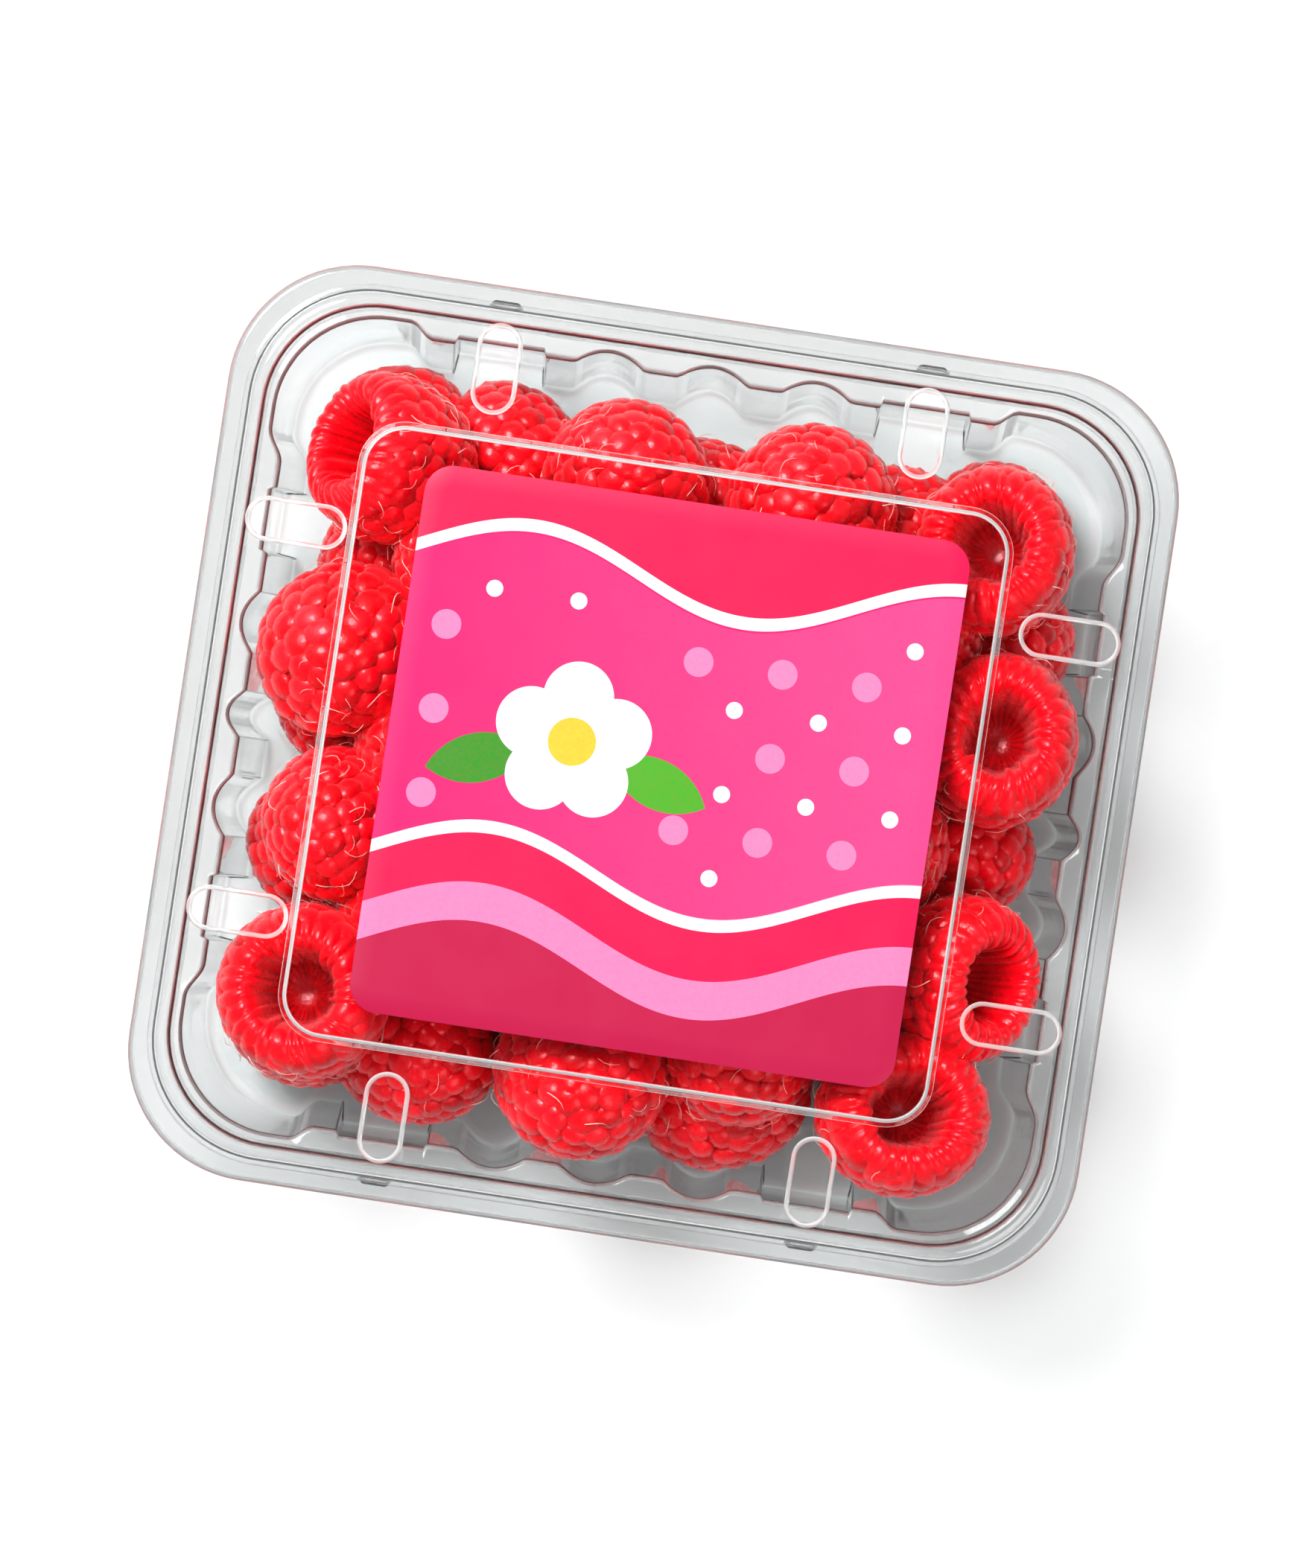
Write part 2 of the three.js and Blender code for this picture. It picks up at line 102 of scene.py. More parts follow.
# Upper berries: x and y of the middle, height of the top, size across x and y, length,
# compass direction of the cup's mouth and its lean from straight up
UPPER_BERRIES = (
    (-42.0, 38.3, 39.4, 22.0, 24.6, 23.5, 165, 52),
    (-9.7, 41.3, 39.4, 24.6, 23.6, 23.5, 250, 160),
    (16.1, 41.2, 39.6, 25.0, 24.8, 24.0, 300, 166),
    (43.6, 38.4, 39.5, 22.8, 24.6, 23.0, 135, 12),
    (47.8, 11.9, 39.5, 22.4, 25.4, 23.0, 90, 8),
    (46.2, -21.9, 39.4, 21.2, 24.6, 21.5, 358, 40),
    (41.7, -42.6, 39.5, 25.4, 23.8, 23.0, 40, 12),
    (18.0, -37.0, 38.6, 22.6, 22.6, 23.0, 80, 158),
    (-3.6, -44.4, 39.2, 25.6, 24.0, 24.0, 100, 150),
    (-44.0, -37.8, 39.5, 25.0, 25.4, 23.5, 170, 10),
    (-43.7, -13.8, 38.8, 21.8, 23.2, 23.0, 20, 162),
    (-46.2, 10.3, 39.4, 25.0, 27.0, 21.5, 60, 152),
)
CUP_LEAN = 90

# Berries that rise from the core inside the upper ring: x, y, top and size, tip up
INNER_BERRIES = (
    (-31.5, 25.5, 37.0, 21.0), (-32.5, -1.5, 37.5, 21.4), (-31.0, -25.5, 36.8, 20.8),
    (33.0, 25.0, 37.2, 20.8), (33.0, -5.0, 37.4, 21.6), (28.5, -25.5, 36.6, 20.6),
    (5.0, 24.5, 36.8, 21.2), (6.5, -26.0, 36.8, 21.0),
)
INNER_LEAN = (150, 172)

# Lower berries: x and y of the middle, and size
LOWER_BERRIES = (
    (-44.6, -42.0, 20.2), (-26.2, -43.6, 22.6), (-5.0, -42.0, 20.0), (17.6, -42.8, 23.4), (42.4, -42.0, 20.2),
    (-43.8, -15.6, 21.4), (-22.6, -20.6, 20.4), (0.4, -20.6, 20.0), (22.8, -20.6, 20.4), (44.0, -22.0, 20.2),
    (-45.2, 3.5, 20.0), (-22.2, 0.8, 20.2), (0.8, 0.8, 20.4), (22.6, 0.8, 20.0), (45.8, -4.0, 20.8),
    (-42.5, 22.5, 20.2), (-22.8, 21.8, 20.4), (0.2, 21.8, 20.0), (23.0, 21.8, 20.2), (45.4, 25.0, 20.6),
    (-42.6, 41.0, 20.4), (-26.0, 40.4, 22.4), (2.2, 39.2, 20.2), (29.4, 37.2, 20.6), (44.2, 41.6, 20.0),
)
LOWER_REST_Z, LOWER_LEAN = 0.9, (105, 150)
CORE_LENGTH, CORE_WIDTH, CORE_FROM_Z, CORE_TO_Z, HIDDEN_IN = 82.0, 78.0, 9.0, 31.0, 2.0
CORE_SHRINK, CORE_ROUND, CORE_ROWS, CORE_AROUND = 0.96, 0.35, 15, 48
SEED = 7

# Berry outline from the tip to the mouth and down into the cup, as shares of half width and length
BERRY_SKIN = ((0, -0.5), (0.28, -0.48), (0.5, -0.42), (0.82, -0.24), (0.99, 0.02), (0.98, 0.24), (0.84, 0.42))
BERRY_CUP = ((0.63, 0.487), (0.46, 0.42), (0.38, 0.2), (0.3, 0.02), (0, -0.06))
SHOULDER_KNOT, RIM_KNOT, CUP_KNOT = 5.45, 7, 9
POLE_MERGE = 0.001

# Drupelets: pitch in mm on a berry of the usual half width, half sizes as shares of it, spreads, jitters
DRUPELET, USUAL_HALF, ROW_STEP = 3.7, 12, 0.88
DRUPELET_WIDE, DRUPELET_LONG, TOP_ROW_LONG, DRUPELET_DEEP = 0.67, 0.65, 0.72, 0.42
SIZE_SPREAD, DEPTH_SPREAD, TINT_SPREAD = (0.9, 1.12), (0.8, 1.1), (0.2, 0.8)
AROUND_JITTER, ALONG_JITTER, SPIN_JITTER = 0.09, 0.08, 0.15
# Painted shade on each drupelet's lower part, towards the creases: height where it starts and height over
# which it deepens
CREASE_FROM, CREASE_OVER = 0.75, 0.7

# Rim and cup of a berry: long drupelets round the rim, depth of the grooves in mm, and their unevenness
RIM_DRUPELETS, RIM_GROOVE, RIM_JITTER, RIM_SWELL = 27, 0.6, 0.17, (0.6, 1.0)
SKIN_UNDER, CUP_UNEVEN, CUP_TWIST, RING_JITTER = 1.15, 0.35, 0.12, 0.004

# Hairs: length, share of the drupelets that have one, half widths and heights that their tips keep within,
# and the form of one as shares of its length
HAIR_LENGTH, HAIR_SHARE = (2.2, 4.5), dict(upper=0.4, lower=0.15)
HAIR_REACH, HAIR_LOW, HAIR_HIGH = (54.0, 51.0), 3.0, 39.6
HAIR_RUN, HAIR_CURL, HAIR_ARCH, HAIR_THICK, HAIR_TAPER = 0.9, 0.28, 0.16, 0.02, 0.6

# Stage and camera, in metres, and the sensor in mm
FLOOR_REACH, FLOOR_Z = 3.0, -0.0002
TURN = math.radians(8.6)
FRAME_HEIGHT, RIM_PLANE, DISTANCE, SENSOR = 0.2220, 0.036, 2.6, 36.0
SHIFT_RIGHT, SHIFT_UP = -0.00099, -0.00118


def linear(code):
    """An sRGB hex colour as linear light."""
    parts = [int(code[i:i + 2], 16) / 255 for i in (1, 3, 5)]
    return (*(c / 12.92 if c <= 0.04045 else ((c + 0.055) / 1.055) ** 2.4 for c in parts), 1.0)


def add(tree, kind, inputs=None, **settings):
    """Adds a node with its settings. inputs maps a socket to a value, or to the output that feeds it."""
    node = tree.nodes.new(kind)
    for name, value in settings.items():
        setattr(node, name, value)
    for key, value in (inputs or {}).items():
        if isinstance(value, bpy.types.NodeSocket):
            tree.links.new(value, node.inputs[key])
        else:
            node.inputs[key].default_value = value
    return node


def new_material(name):
    made = bpy.data.materials.new(name)
    made.use_nodes = True
    made.node_tree.nodes.clear()
    return made, made.node_tree


def ramp(tree, value, stops, interpolation="LINEAR"):
    node = add(tree, "ShaderNodeValToRGB", {0: value})
    node.color_ramp.interpolation = interpolation
    while len(node.color_ramp.elements) < len(stops):
        node.color_ramp.elements.new(1.0)
    for element, (place, code) in zip(node.color_ramp.elements, stops):
        element.position = place
        element.color = linear(code)
    return node.outputs["Color"]


def inked(tree, ground, share, code):
    """A share of one flat colour over a ground."""
    mix = add(tree, "ShaderNodeMix", {0: share, 6: ground, 7: linear(code)}, data_type="RGBA")
    return mix.outputs[2]


def clear_sheet(name):
    """Thermoformed clear PET: see-through with a hard gloss, a little drawn-out waviness, and a painted line
    where the sheet was bent sharply: a painted white highlight on the panel, a whitened cut edge with a
    painted highlight on the vents, and painted grey shade elsewhere."""
    made, tree = new_material(name)
    place = add(tree, "ShaderNodeTexCoord").outputs["Object"]
    waves = add(tree, "ShaderNodeTexNoise", {"Vector": place, "Scale": 1000 / 14.0, "Detail": 2.0})
    bump = add(tree, "ShaderNodeBump", {"Height": waves.outputs["Fac"], "Strength": 0.05, "Distance": 0.0006})
    glass = add(tree, "ShaderNodeBsdfPrincipled", {
        "Base Color": linear("#F2F4F4"), "Roughness": 0.025, "IOR": 1.5, "Transmission Weight": 1.0,
        "Normal": bump.outputs[0]})
    passing = add(tree, "ShaderNodeBsdfTransparent", {"Color": linear("#EEEFEF")})
    path = add(tree, "ShaderNodeLightPath")
    film = add(tree, "ShaderNodeMixShader", {
        0: path.outputs["Is Shadow Ray"], 1: glass.outputs[0], 2: passing.outputs[0]})
    # Painted bend line: the bend value mixes in a diffuse colour, white as a painted highlight, grey below
    # nought as painted shade
    bend = add(tree, "ShaderNodeAttribute", attribute_name="bend")
    grey = add(tree, "ShaderNodeMath", {0: bend.outputs["Fac"], 1: 0.0}, operation="LESS_THAN")
    tone = inked(tree, linear("#F4F4F4"), grey.outputs[0], "#A2A4A4")
    painted_bend_line = add(tree, "ShaderNodeBsdfPrincipled", {"Base Color": tone, "Roughness": 0.3})
    size = add(tree, "ShaderNodeMath", {0: bend.outputs["Fac"]}, operation="ABSOLUTE")
    share = add(tree, "ShaderNodeMath", {0: size.outputs[0], 1: 0.5}, operation="MULTIPLY")
    skin = add(tree, "ShaderNodeMixShader", {0: share.outputs[0], 1: film.outputs[0], 2: painted_bend_line.outputs[0]})
    add(tree, "ShaderNodeOutputMaterial", {"Surface": skin.outputs[0]})
    return made


def raspberry_skin():
    """Ripe raspberry drupelets: thin moist skin over juicy flesh, with painted shade, a deeper red, in the
    creases and the cup, and a painted pale pink sheen only where the skin turns sharply away."""
    made, tree = new_material("raspberry skin")
    place = add(tree, "ShaderNodeTexCoord").outputs["Object"]
    tint = add(tree, "ShaderNodeAttribute", attribute_name="tint")
    crease = add(tree, "ShaderNodeAttribute", attribute_name="crease")
    mottle = add(tree, "ShaderNodeTexNoise", {"Vector": place, "Scale": 1000 / 2.4, "Detail": 3.0})
    mixed = add(tree, "ShaderNodeMath", {0: mottle.outputs["Fac"], 1: 0.3, 2: tint.outputs["Fac"]},
                operation="MULTIPLY_ADD")
    # Low tints give the darkest reds: painted shade from the berries' bodies and the core, while drupelet
    # tints are random tone
    red = ramp(tree, mixed.outputs[0], (
        (0.1, "#6A0004"), (0.4, "#CC000C"), (0.7, "#F00014"), (1.0, "#FF1422")))
    # Painted shade: the lower part of each drupelet, towards the creases, is inked a darker red
    painted_crease_shade = inked(tree, red, crease.outputs["Fac"], "#B8000A")
    # Painted sheen: the base colour turns pale pink where the skin faces away from the view
    facing = add(tree, "ShaderNodeLayerWeight", {"Blend": 0.5})
    edge = add(tree, "ShaderNodeMath", {0: facing.outputs["Facing"], 1: 4.0}, operation="POWER")
    share = add(tree, "ShaderNodeMath", {0: edge.outputs[0], 1: 0.65}, operation="MULTIPLY")
    painted_sheen = inked(tree, painted_crease_shade, share.outputs[0], "#FF7C84")
    grain = add(tree, "ShaderNodeTexNoise", {"Vector": place, "Scale": 1000 / 0.7, "Detail": 2.0})
    bump = add(tree, "ShaderNodeBump", {"Height": grain.outputs["Fac"], "Strength": 0.35, "Distance": 0.0002})
    rough = add(tree, "ShaderNodeMapRange", {0: mottle.outputs["Fac"], 3: 0.18, 4: 0.36})
    skin = add(tree, "ShaderNodeBsdfPrincipled", {
        "Base Color": painted_sheen, "Roughness": rough.outputs[0], "IOR": 1.42, "Normal": bump.outputs[0],
        "Specular IOR Level": 1.0, "Specular Tint": linear("#FFA8AE"),
        "Sheen Weight": 0.05, "Sheen Roughness": 0.35, "Sheen Tint": linear("#FF8088")})
    add(tree, "ShaderNodeOutputMaterial", {"Surface": skin.outputs[0]})
    return made


def raspberry_hair():
    """Dried styles: fine pale straw-pink hairs left on the fruit."""
    made, tree = new_material("dried raspberry hair")
    place = add(tree, "ShaderNodeTexCoord").outputs["Object"]
    mottle = add(tree, "ShaderNodeTexNoise", {"Vector": place, "Scale": 1000 / 3.0})
    colour = ramp(tree, mottle.outputs["Fac"], ((0.3, "#E99A8A"), (0.7, "#FFD9D0")))
    hair = add(tree, "ShaderNodeBsdfPrincipled", {"Base Color": colour, "Roughness": 0.5})
    add(tree, "ShaderNodeOutputMaterial", {"Surface": hair.outputs[0]})
    return made


def band_height(tree, spot):
    """Height share of the waved bands at a spot of the label."""
    axes = add(tree, "ShaderNodeSeparateXYZ", {0: spot})
    swing = add(tree, "ShaderNodeMath", {0: axes.outputs["X"], 1: 2 * math.pi / WAVE_LENGTH, 2: WAVE_PHASE},
                operation="MULTIPLY_ADD")
    wave = add(tree, "ShaderNodeMath", {0: swing.outputs[0]}, operation="SINE")
    level = add(tree, "ShaderNodeMath", {0: wave.outputs[0], 1: WAVE_RISE, 2: axes.outputs["Y"]},
                operation="MULTIPLY_ADD")
    share = add(tree, "ShaderNodeMapRange", {0: level.outputs[0], 1: -LABEL_WIDTH / 2, 2: LABEL_WIDTH / 2})
    return share.outputs[0]


def in_field(tree, height, margin):
    """1 in the field between the bands, at least a margin inside it."""
    middle, half = (FIELD_FROM + FIELD_TO) / 2, (FIELD_TO - FIELD_FROM) / 2
    inside = add(tree, "ShaderNodeMath", {0: height, 1: middle, 2: half - margin}, operation="COMPARE")
    return inside.outputs[0]


def in_disc(tree, spot, middle, radius):
    away = add(tree, "ShaderNodeVectorMath", {0: spot, 1: middle}, operation="DISTANCE").outputs["Value"]
    return add(tree, "ShaderNodeMath", {0: away, 1: radius}, operation="LESS_THAN").outputs[0]


def both(tree, one, other):
    return add(tree, "ShaderNodeMath", {0: one, 1: other}, operation="MULTIPLY").outputs[0]


def round_blossom(degrees, out):
    """A spot at a distance from the blossom's middle."""
    turn = math.radians(degrees)
    return (BLOSSOM[0] + out * math.cos(turn), BLOSSOM[1] + out * math.sin(turn), 0)


def label_print():
    """Printed film sticker: flat fields of bright pink ink under a satin varnish, with a fine print grain."""
    made, tree = new_material("printed label film")
    place = add(tree, "ShaderNodeTexCoord").outputs["Object"]
    spot = add(tree, "ShaderNodeMapping", {
        "Vector": place, "Location": (-LABEL_SHIFT, 0, 0), "Scale": (1 / MM, 1 / MM, 0)}).outputs[0]
    height = band_height(tree, spot)
    field = in_field(tree, height, 0.0)
    colour = ramp(tree, height, BAND_COLOURS, "CONSTANT")
    along = add(tree, "ShaderNodeSeparateXYZ", {0: spot}).outputs["X"]
    glow = add(tree, "ShaderNodeMapRange", {0: along, 1: -LABEL_LENGTH / 2, 2: LABEL_LENGTH / 2, 4: 0.45})
    colour = inked(tree, colour, both(tree, field, glow.outputs[0]), "#E8609F")
    for offset, radius, code in DOTS:
        cell = add(tree, "ShaderNodeVectorMath", {0: spot, 1: (1 / DOT_PITCH,) * 3, 2: offset},
                   operation="MULTIPLY_ADD")
        whole = add(tree, "ShaderNodeVectorMath", {0: cell.outputs[0]}, operation="FLOOR")
        centre = ((0.5 - offset[0]) * DOT_PITCH, (0.5 - offset[1]) * DOT_PITCH, 0)
        middle = add(tree, "ShaderNodeVectorMath", {0: whole.outputs[0], 1: (DOT_PITCH,) * 3, 2: centre},
                     operation="MULTIPLY_ADD").outputs[0]
        kept = in_field(tree, band_height(tree, middle), FIELD_MARGIN)
        off = add(tree, "ShaderNodeSeparateXYZ", {0: middle}).outputs["X"]
        whole_dot = add(tree, "ShaderNodeMath", {0: off, 1: 0.0, 2: LABEL_LENGTH / 2 - DOT_EDGE},
                        operation="COMPARE")
        kept = both(tree, kept, whole_dot.outputs[0])
        taken = in_disc(tree, middle, BLOSSOM, BLOSSOM_CLEAR)
        free = add(tree, "ShaderNodeMath", {0: 1.0, 1: taken}, operation="SUBTRACT").outputs[0]
        dot = both(tree, in_disc(tree, spot, middle, radius), both(tree, kept, free))
        colour = inked(tree, colour, dot, code)
    bow = (LEAF_LENGTH ** 2 + LEAF_WIDTH ** 2) / (4 * LEAF_WIDTH)
    for degrees, code in LEAVES:
        x, y, z = round_blossom(degrees, LEAF_OUT)
        turn = math.radians(degrees)
        aside = (bow - LEAF_WIDTH / 2) * Vector((-math.sin(turn), math.cos(turn), 0))
        sides = [in_disc(tree, spot, Vector((x, y, z)) + way * aside, bow) for way in (-1, 1)]
        colour = inked(tree, colour, both(tree, *sides), code)
    for k in range(PETALS):
        petal = in_disc(tree, spot, round_blossom(90 + 360 * k / PETALS, PETAL_OUT), PETAL_RADIUS)
        colour = inked(tree, colour, petal, PETAL_COLOUR)
    colour = inked(tree, colour, in_disc(tree, spot, BLOSSOM, EYE_RADIUS), EYE_COLOUR)
    grain = add(tree, "ShaderNodeTexNoise", {"Vector": place, "Scale": 1000 / 0.5, "Detail": 2.0})
    speck = add(tree, "ShaderNodeMapRange", {0: grain.outputs["Fac"], 1: 0.3, 2: 0.7, 3: 0.0, 4: 0.1})
    printed = inked(tree, colour, speck.outputs[0], "#B8044A")
    varnish = add(tree, "ShaderNodeTexNoise", {"Vector": place, "Scale": 1000 / 6.0, "Detail": 3.0})
    rough = add(tree, "ShaderNodeMapRange", {0: varnish.outputs["Fac"], 3: 0.36, 4: 0.48})
    ink = add(tree, "ShaderNodeBsdfPrincipled", {
        "Base Color": printed, "Roughness": rough.outputs[0], "IOR": 1.4})
    add(tree, "ShaderNodeOutputMaterial", {"Surface": ink.outputs[0]})
    return made


def piece(name, mesh, *materials):
    """A shown piece that rides on the one body."""
    made = bpy.data.objects.new(name, mesh)
    bpy.context.scene.collection.objects.link(made)
    for material in materials:
        mesh.materials.append(material)
    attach(made, "root")
    return made


def plain_mesh(name, points, faces):
    mesh = bpy.data.meshes.new(name)
    mesh.from_pydata([tuple(point) for point in points], [], faces)
    return mesh


def mark(mesh, name, values):
    """Gives each point of a mesh a value of its own under a name."""
    mesh.attributes.new(name, "FLOAT", "POINT").data.foreach_set("value", np.array(values, np.float32))


def bands(rows, around, start=0):
    """Faces between neighbouring closed rings of points, ring after ring."""
    i = np.arange(around)
    following = (i + 1) % around
    faces = []
    for a in range(start, start + (rows - 1) * around, around):
        b = a + around
        faces += np.column_stack([a + i, a + following, b + following, b + i]).tolist()
    return faces


def smooth(mesh, angle=35):
    mesh.shade_smooth()
    mesh.set_sharp_from_angle(angle=math.radians(angle))


def ease(value):
    """Smooth step from 0 to 1."""
    value = np.clip(value, 0.0, 1.0)
    return value * value * (3 - 2 * value)


def side_stations(form, fine):
    """Places along a side, with the shares of flute and pocket depth there."""
    places = [np.linspace(-form["corner_full"], form["corner_full"], fine)]
    for end in (-1, 1):
        for edge in (-1, 1):
            foot = end * (form["vent_at"] + edge * form["pocket"] / 2)
            places.append(foot + np.linspace(-RAMP_REACH, RAMP_REACH, RAMP_STATIONS) * POCKET_RAMP)
    along = np.unique(np.round(np.concatenate(places), 3))
    flute = ease((np.abs(along) - form["corner_from"]) / (form["corner_full"] - form["corner_from"]))
    for centre, width in form["flutes"]:
        flute = np.maximum(flute, 1 - ((along - centre) / (width / 2)) ** 2)
    away = np.abs(np.abs(along) - form["vent_at"])
    pocket = ease((form["pocket"] / 2 - away) / POCKET_RAMP + 0.5)
    return along, flute, pocket


def ring(level, fine, corner_steps, fluted):
    """One closed ring of points round the punnet. level: inset, z, corner, flute, pocket, shift."""
    inset, z, corner, flute, pocket, shift = level[:6]
    points = []
    for side in SIDES:
        t, n = np.array(side["along"], float), np.array(side["out"], float)
        end = side["half"] - (inset - flute) - corner
        away = side["reach"] - (inset - flute) - corner
        along, deep, recess = np.linspace(-end, end, fine), 1.0, 0.0
        if fluted:
            along, deep, recess = side_stations(side["form"], fine)
        edge = side["reach"] - inset + flute * deep + pocket * recess + 0 * along
        points.append(along[:, None] * t + edge[:, None] * n)
        turn = np.linspace(0, math.pi / 2, corner_steps + 2)[1 - fluted:corner_steps + 1 + fluted, None]
        points.append(t * end + n * away + corner * (np.cos(turn) * n + np.sin(turn) * t))
    flat = np.concatenate(points)
    flat[:, 0] += shift
    return np.column_stack([flat, np.full(len(flat), z)])


def bent(section, steps=6, support=0.3):
    """A section with its corners rounded. Inner levels end with their bend, the result with the painted line:
    its share at each point, a white highlight above nought and grey shade below.
    """
    rows = [(*section[0][:6], 0.0)]
    levels = np.array([level[:6] for level in section], float)
    for i in range(1, len(section) - 1):
        reach, painted_line = section[i][6:]
        ends = []
        for other in (levels[i - 1], levels[i + 1]):
            gap = np.hypot(*(other[:2] - levels[i][:2]))
            ends.append((levels[i] + (other - levels[i]) * min(reach, gap * 0.45) / gap,
                         levels[i] + (other - levels[i]) * min(reach + support, gap * 0.49) / gap))
        rows.append((*ends[0][1], 0.0))
        for k in range(steps + 1):
            u = k / steps
            spot = (1 - u) ** 2 * ends[0][0] + 2 * u * (1 - u) * levels[i] + u * u * ends[1][0]
            rows.append((*spot, painted_line * math.sin(math.pi * u)))
        rows.append((*ends[1][1], 0.0))
    rows.append((*section[-1][:6], 0.0))
    return np.array(rows)


def other_face(rows):
    """The section's other face, a sheet's thickness away."""
    step = np.diff(rows[:, :2], axis=0)
    step /= np.hypot(step[:, 0], step[:, 1])[:, None]
    normal = np.column_stack([-step[:, 1], -step[:, 0]])
    before, after = np.vstack([normal[:1], normal]), np.vstack([normal, normal[-1:]])
    share = SHEET / (1 + (before * after).sum(1))[:, None]
    move = (before + after) * share
    moved = rows.copy()
    moved[:, 0] -= move[:, 0]
    moved[:, 1] += move[:, 1]
    moved[:, 2] += move[:, 0]
    return moved


def formed_sheet(name, section, fine, corner_steps, fluted):
    """A closed thin sheet from the section of its lower face, from the middle outwards."""
    rows = bent(section)
    rows = np.vstack([rows, other_face(rows)[::-1]])
    rings = [ring(level, fine, corner_steps, fluted) for level in rows]
    count = len(rings[0])
    points = np.vstack([*rings, [[rows[0][5], 0, rows[0][1]], [rows[-1][5], 0, rows[-1][1]]]])
    bends = np.concatenate([np.repeat(rows[:, 6], count), [0, 0]])
    i = np.arange(count)
    following = (i + 1) % count
    last = (len(rows) - 1) * count
    lower = np.column_stack([np.full(count, len(points) - 2), following, i])
    upper = np.column_stack([np.full(count, len(points) - 1), last + i, last + following])
    mesh = plain_mesh(name, points * MM, bands(len(rows), count) + lower.tolist() + upper.tolist())
    # bend holds the share of painted line at each bend: a white highlight above nought, grey shade below
    mark(mesh, "bend", bends)
    smooth(mesh)
    return mesh


def tray_mesh():
    flat_in, flat_corner = FOOT_IN + FOOT_ROUND + FLAT_MARGIN, FOOT_CORNER - FOOT_ROUND - FLAT_MARGIN
    return formed_sheet("tray_clear", (
        (flat_in, 0, flat_corner, FOOT_FLUTE, FOOT_FLUTE, 0),
        (FOOT_IN, 0, FOOT_CORNER, FOOT_FLUTE, FOOT_FLUTE, 0, *FOOT_BEND),
        (LEDGE_IN, LEDGE_Z, LEDGE_CORNER, LEDGE_FLUTE, LEDGE_POCKET, 0, *LEDGE_BEND),
        (RIM_IN, LEDGE_Z + LEDGE_RISE, RIM_CORNER, 0, 0, 0, *RIM_BEND),
        (RIM_IN - RIM_DRAFT, TRAY_FLANGE_Z, RIM_CORNER + RIM_DRAFT, 0, 0, 0, *FLANGE_BEND),
        (TRAY_EDGE_IN, TRAY_FLANGE_Z, EDGE_CORNER - TRAY_EDGE_IN, 0, 0, 0),
    ), fine=110, corner_steps=14, fluted=True)


def lid_mesh():
    return formed_sheet("lid_clear", (
        (PANEL_TOP_IN + FLAT_MARGIN, PANEL_Z, PANEL_CORNER - FLAT_MARGIN, 0, 0, PANEL_SHIFT),
        (PANEL_TOP_IN, PANEL_Z, PANEL_CORNER, 0, 0, PANEL_SHIFT, *PANEL_BEND),
        (PANEL_FOOT_IN, SHOULDER_Z, PANEL_CORNER + PANEL_DRAFT, 0, 0, PANEL_SHIFT, *PANEL_BEND),
        (LID_WALL_TOP_IN, SHOULDER_Z - SHOULDER_FALL, LID_TOP_CORNER, 0, 0, 0, *WALL_TOP_BEND),
        (LID_WALL_FOOT_IN, LID_FLANGE_Z, LID_FOOT_CORNER, 0, 0, 0, *WALL_FOOT_BEND),
        (SHEET, LID_FLANGE_Z, EDGE_CORNER - SHEET, 0, 0, 0, *EDGE_BEND),
        (SHEET, LID_LIP_Z, EDGE_CORNER - SHEET, 0, 0, 0),
    ), fine=40, corner_steps=16, fluted=False)


def stadium(length, radius, steps=21):
    """Outline of a vent in its own frame, running along y, counter-clockwise."""
    reach = length / 2 - VENT_WIDTH / 2
    turn = np.linspace(0, math.pi, steps)
    cap = np.column_stack([np.cos(turn), np.sin(turn)]) * radius
    return np.vstack([cap + (0, reach), -cap - (0, reach)])


def vent_cut(length):
    """Upright prism that cuts one vent, in its own frame in mm, with its middle on the shoulder."""
    outline = stadium(length, VENT_WIDTH / 2)
    count = len(outline)
    points = [(x, y, z) for z in (-VENT_CUT_DEPTH, VENT_CUT_DEPTH) for x, y in outline]
    faces = [tuple(reversed(range(count))), tuple(range(count, 2 * count))]
    return plain_mesh("vent_cut", points, faces + bands(2, count))


def vent_rim(length, sides=10):
    """Round bead of sheet that follows one vent's edge, in its own frame in mm. It is painted white later,
    a whitened cut edge with a painted highlight.
    """
    outline = stadium(length, VENT_WIDTH / 2 + VENT_BEAD * VENT_BEAD_OUT)
    step = np.roll(outline, -1, axis=0) - np.roll(outline, 1, axis=0)
    step /= np.hypot(step[:, 0], step[:, 1])[:, None]
    points, faces = [], []
    for (x, y), (dx, dy) in zip(outline, step):
        for s in range(sides):
            turn = 2 * math.pi * s / sides
            out = VENT_BEAD * math.cos(turn)
            points.append((x + dy * out, y - dx * out, VENT_BEAD * math.sin(turn)))
    count = len(outline)
    for k in range(count):
        a, b = k * sides, (k + 1) % count * sides
        faces += [(a + s, b + s, b + (s + 1) % sides, a + (s + 1) % sides) for s in range(sides)]
    return plain_mesh("vent_rim", points, faces)


def snap_nub():
    """One snap nub in its own frame in mm: its root in the lid's wall, its tip towards -y."""
    half, rise = NUB_WIDTH / 2, NUB_HEIGHT / 2
    rows = ((0.0, half, rise), (NUB_OUT * NUB_WAIST_OUT, half - NUB_WAIST_SIDE, rise - NUB_WAIST_RISE),
            (NUB_OUT, half - NUB_TAPER, rise - NUB_TAPER))
    points = [(wide * sx, -reach, tall * sz)
              for reach, wide, tall in rows for sx, sz in ((-1, -1), (1, -1), (1, 1), (-1, 1))]
    faces = [(3, 2, 1, 0), (8, 9, 10, 11)]
    for k in range(4):
        following = (k + 1) % 4
        faces += [(a + k, a + following, a + 4 + following, a + 4 + k) for a in (0, 4)]
    return plain_mesh("snap_nub", points, faces)


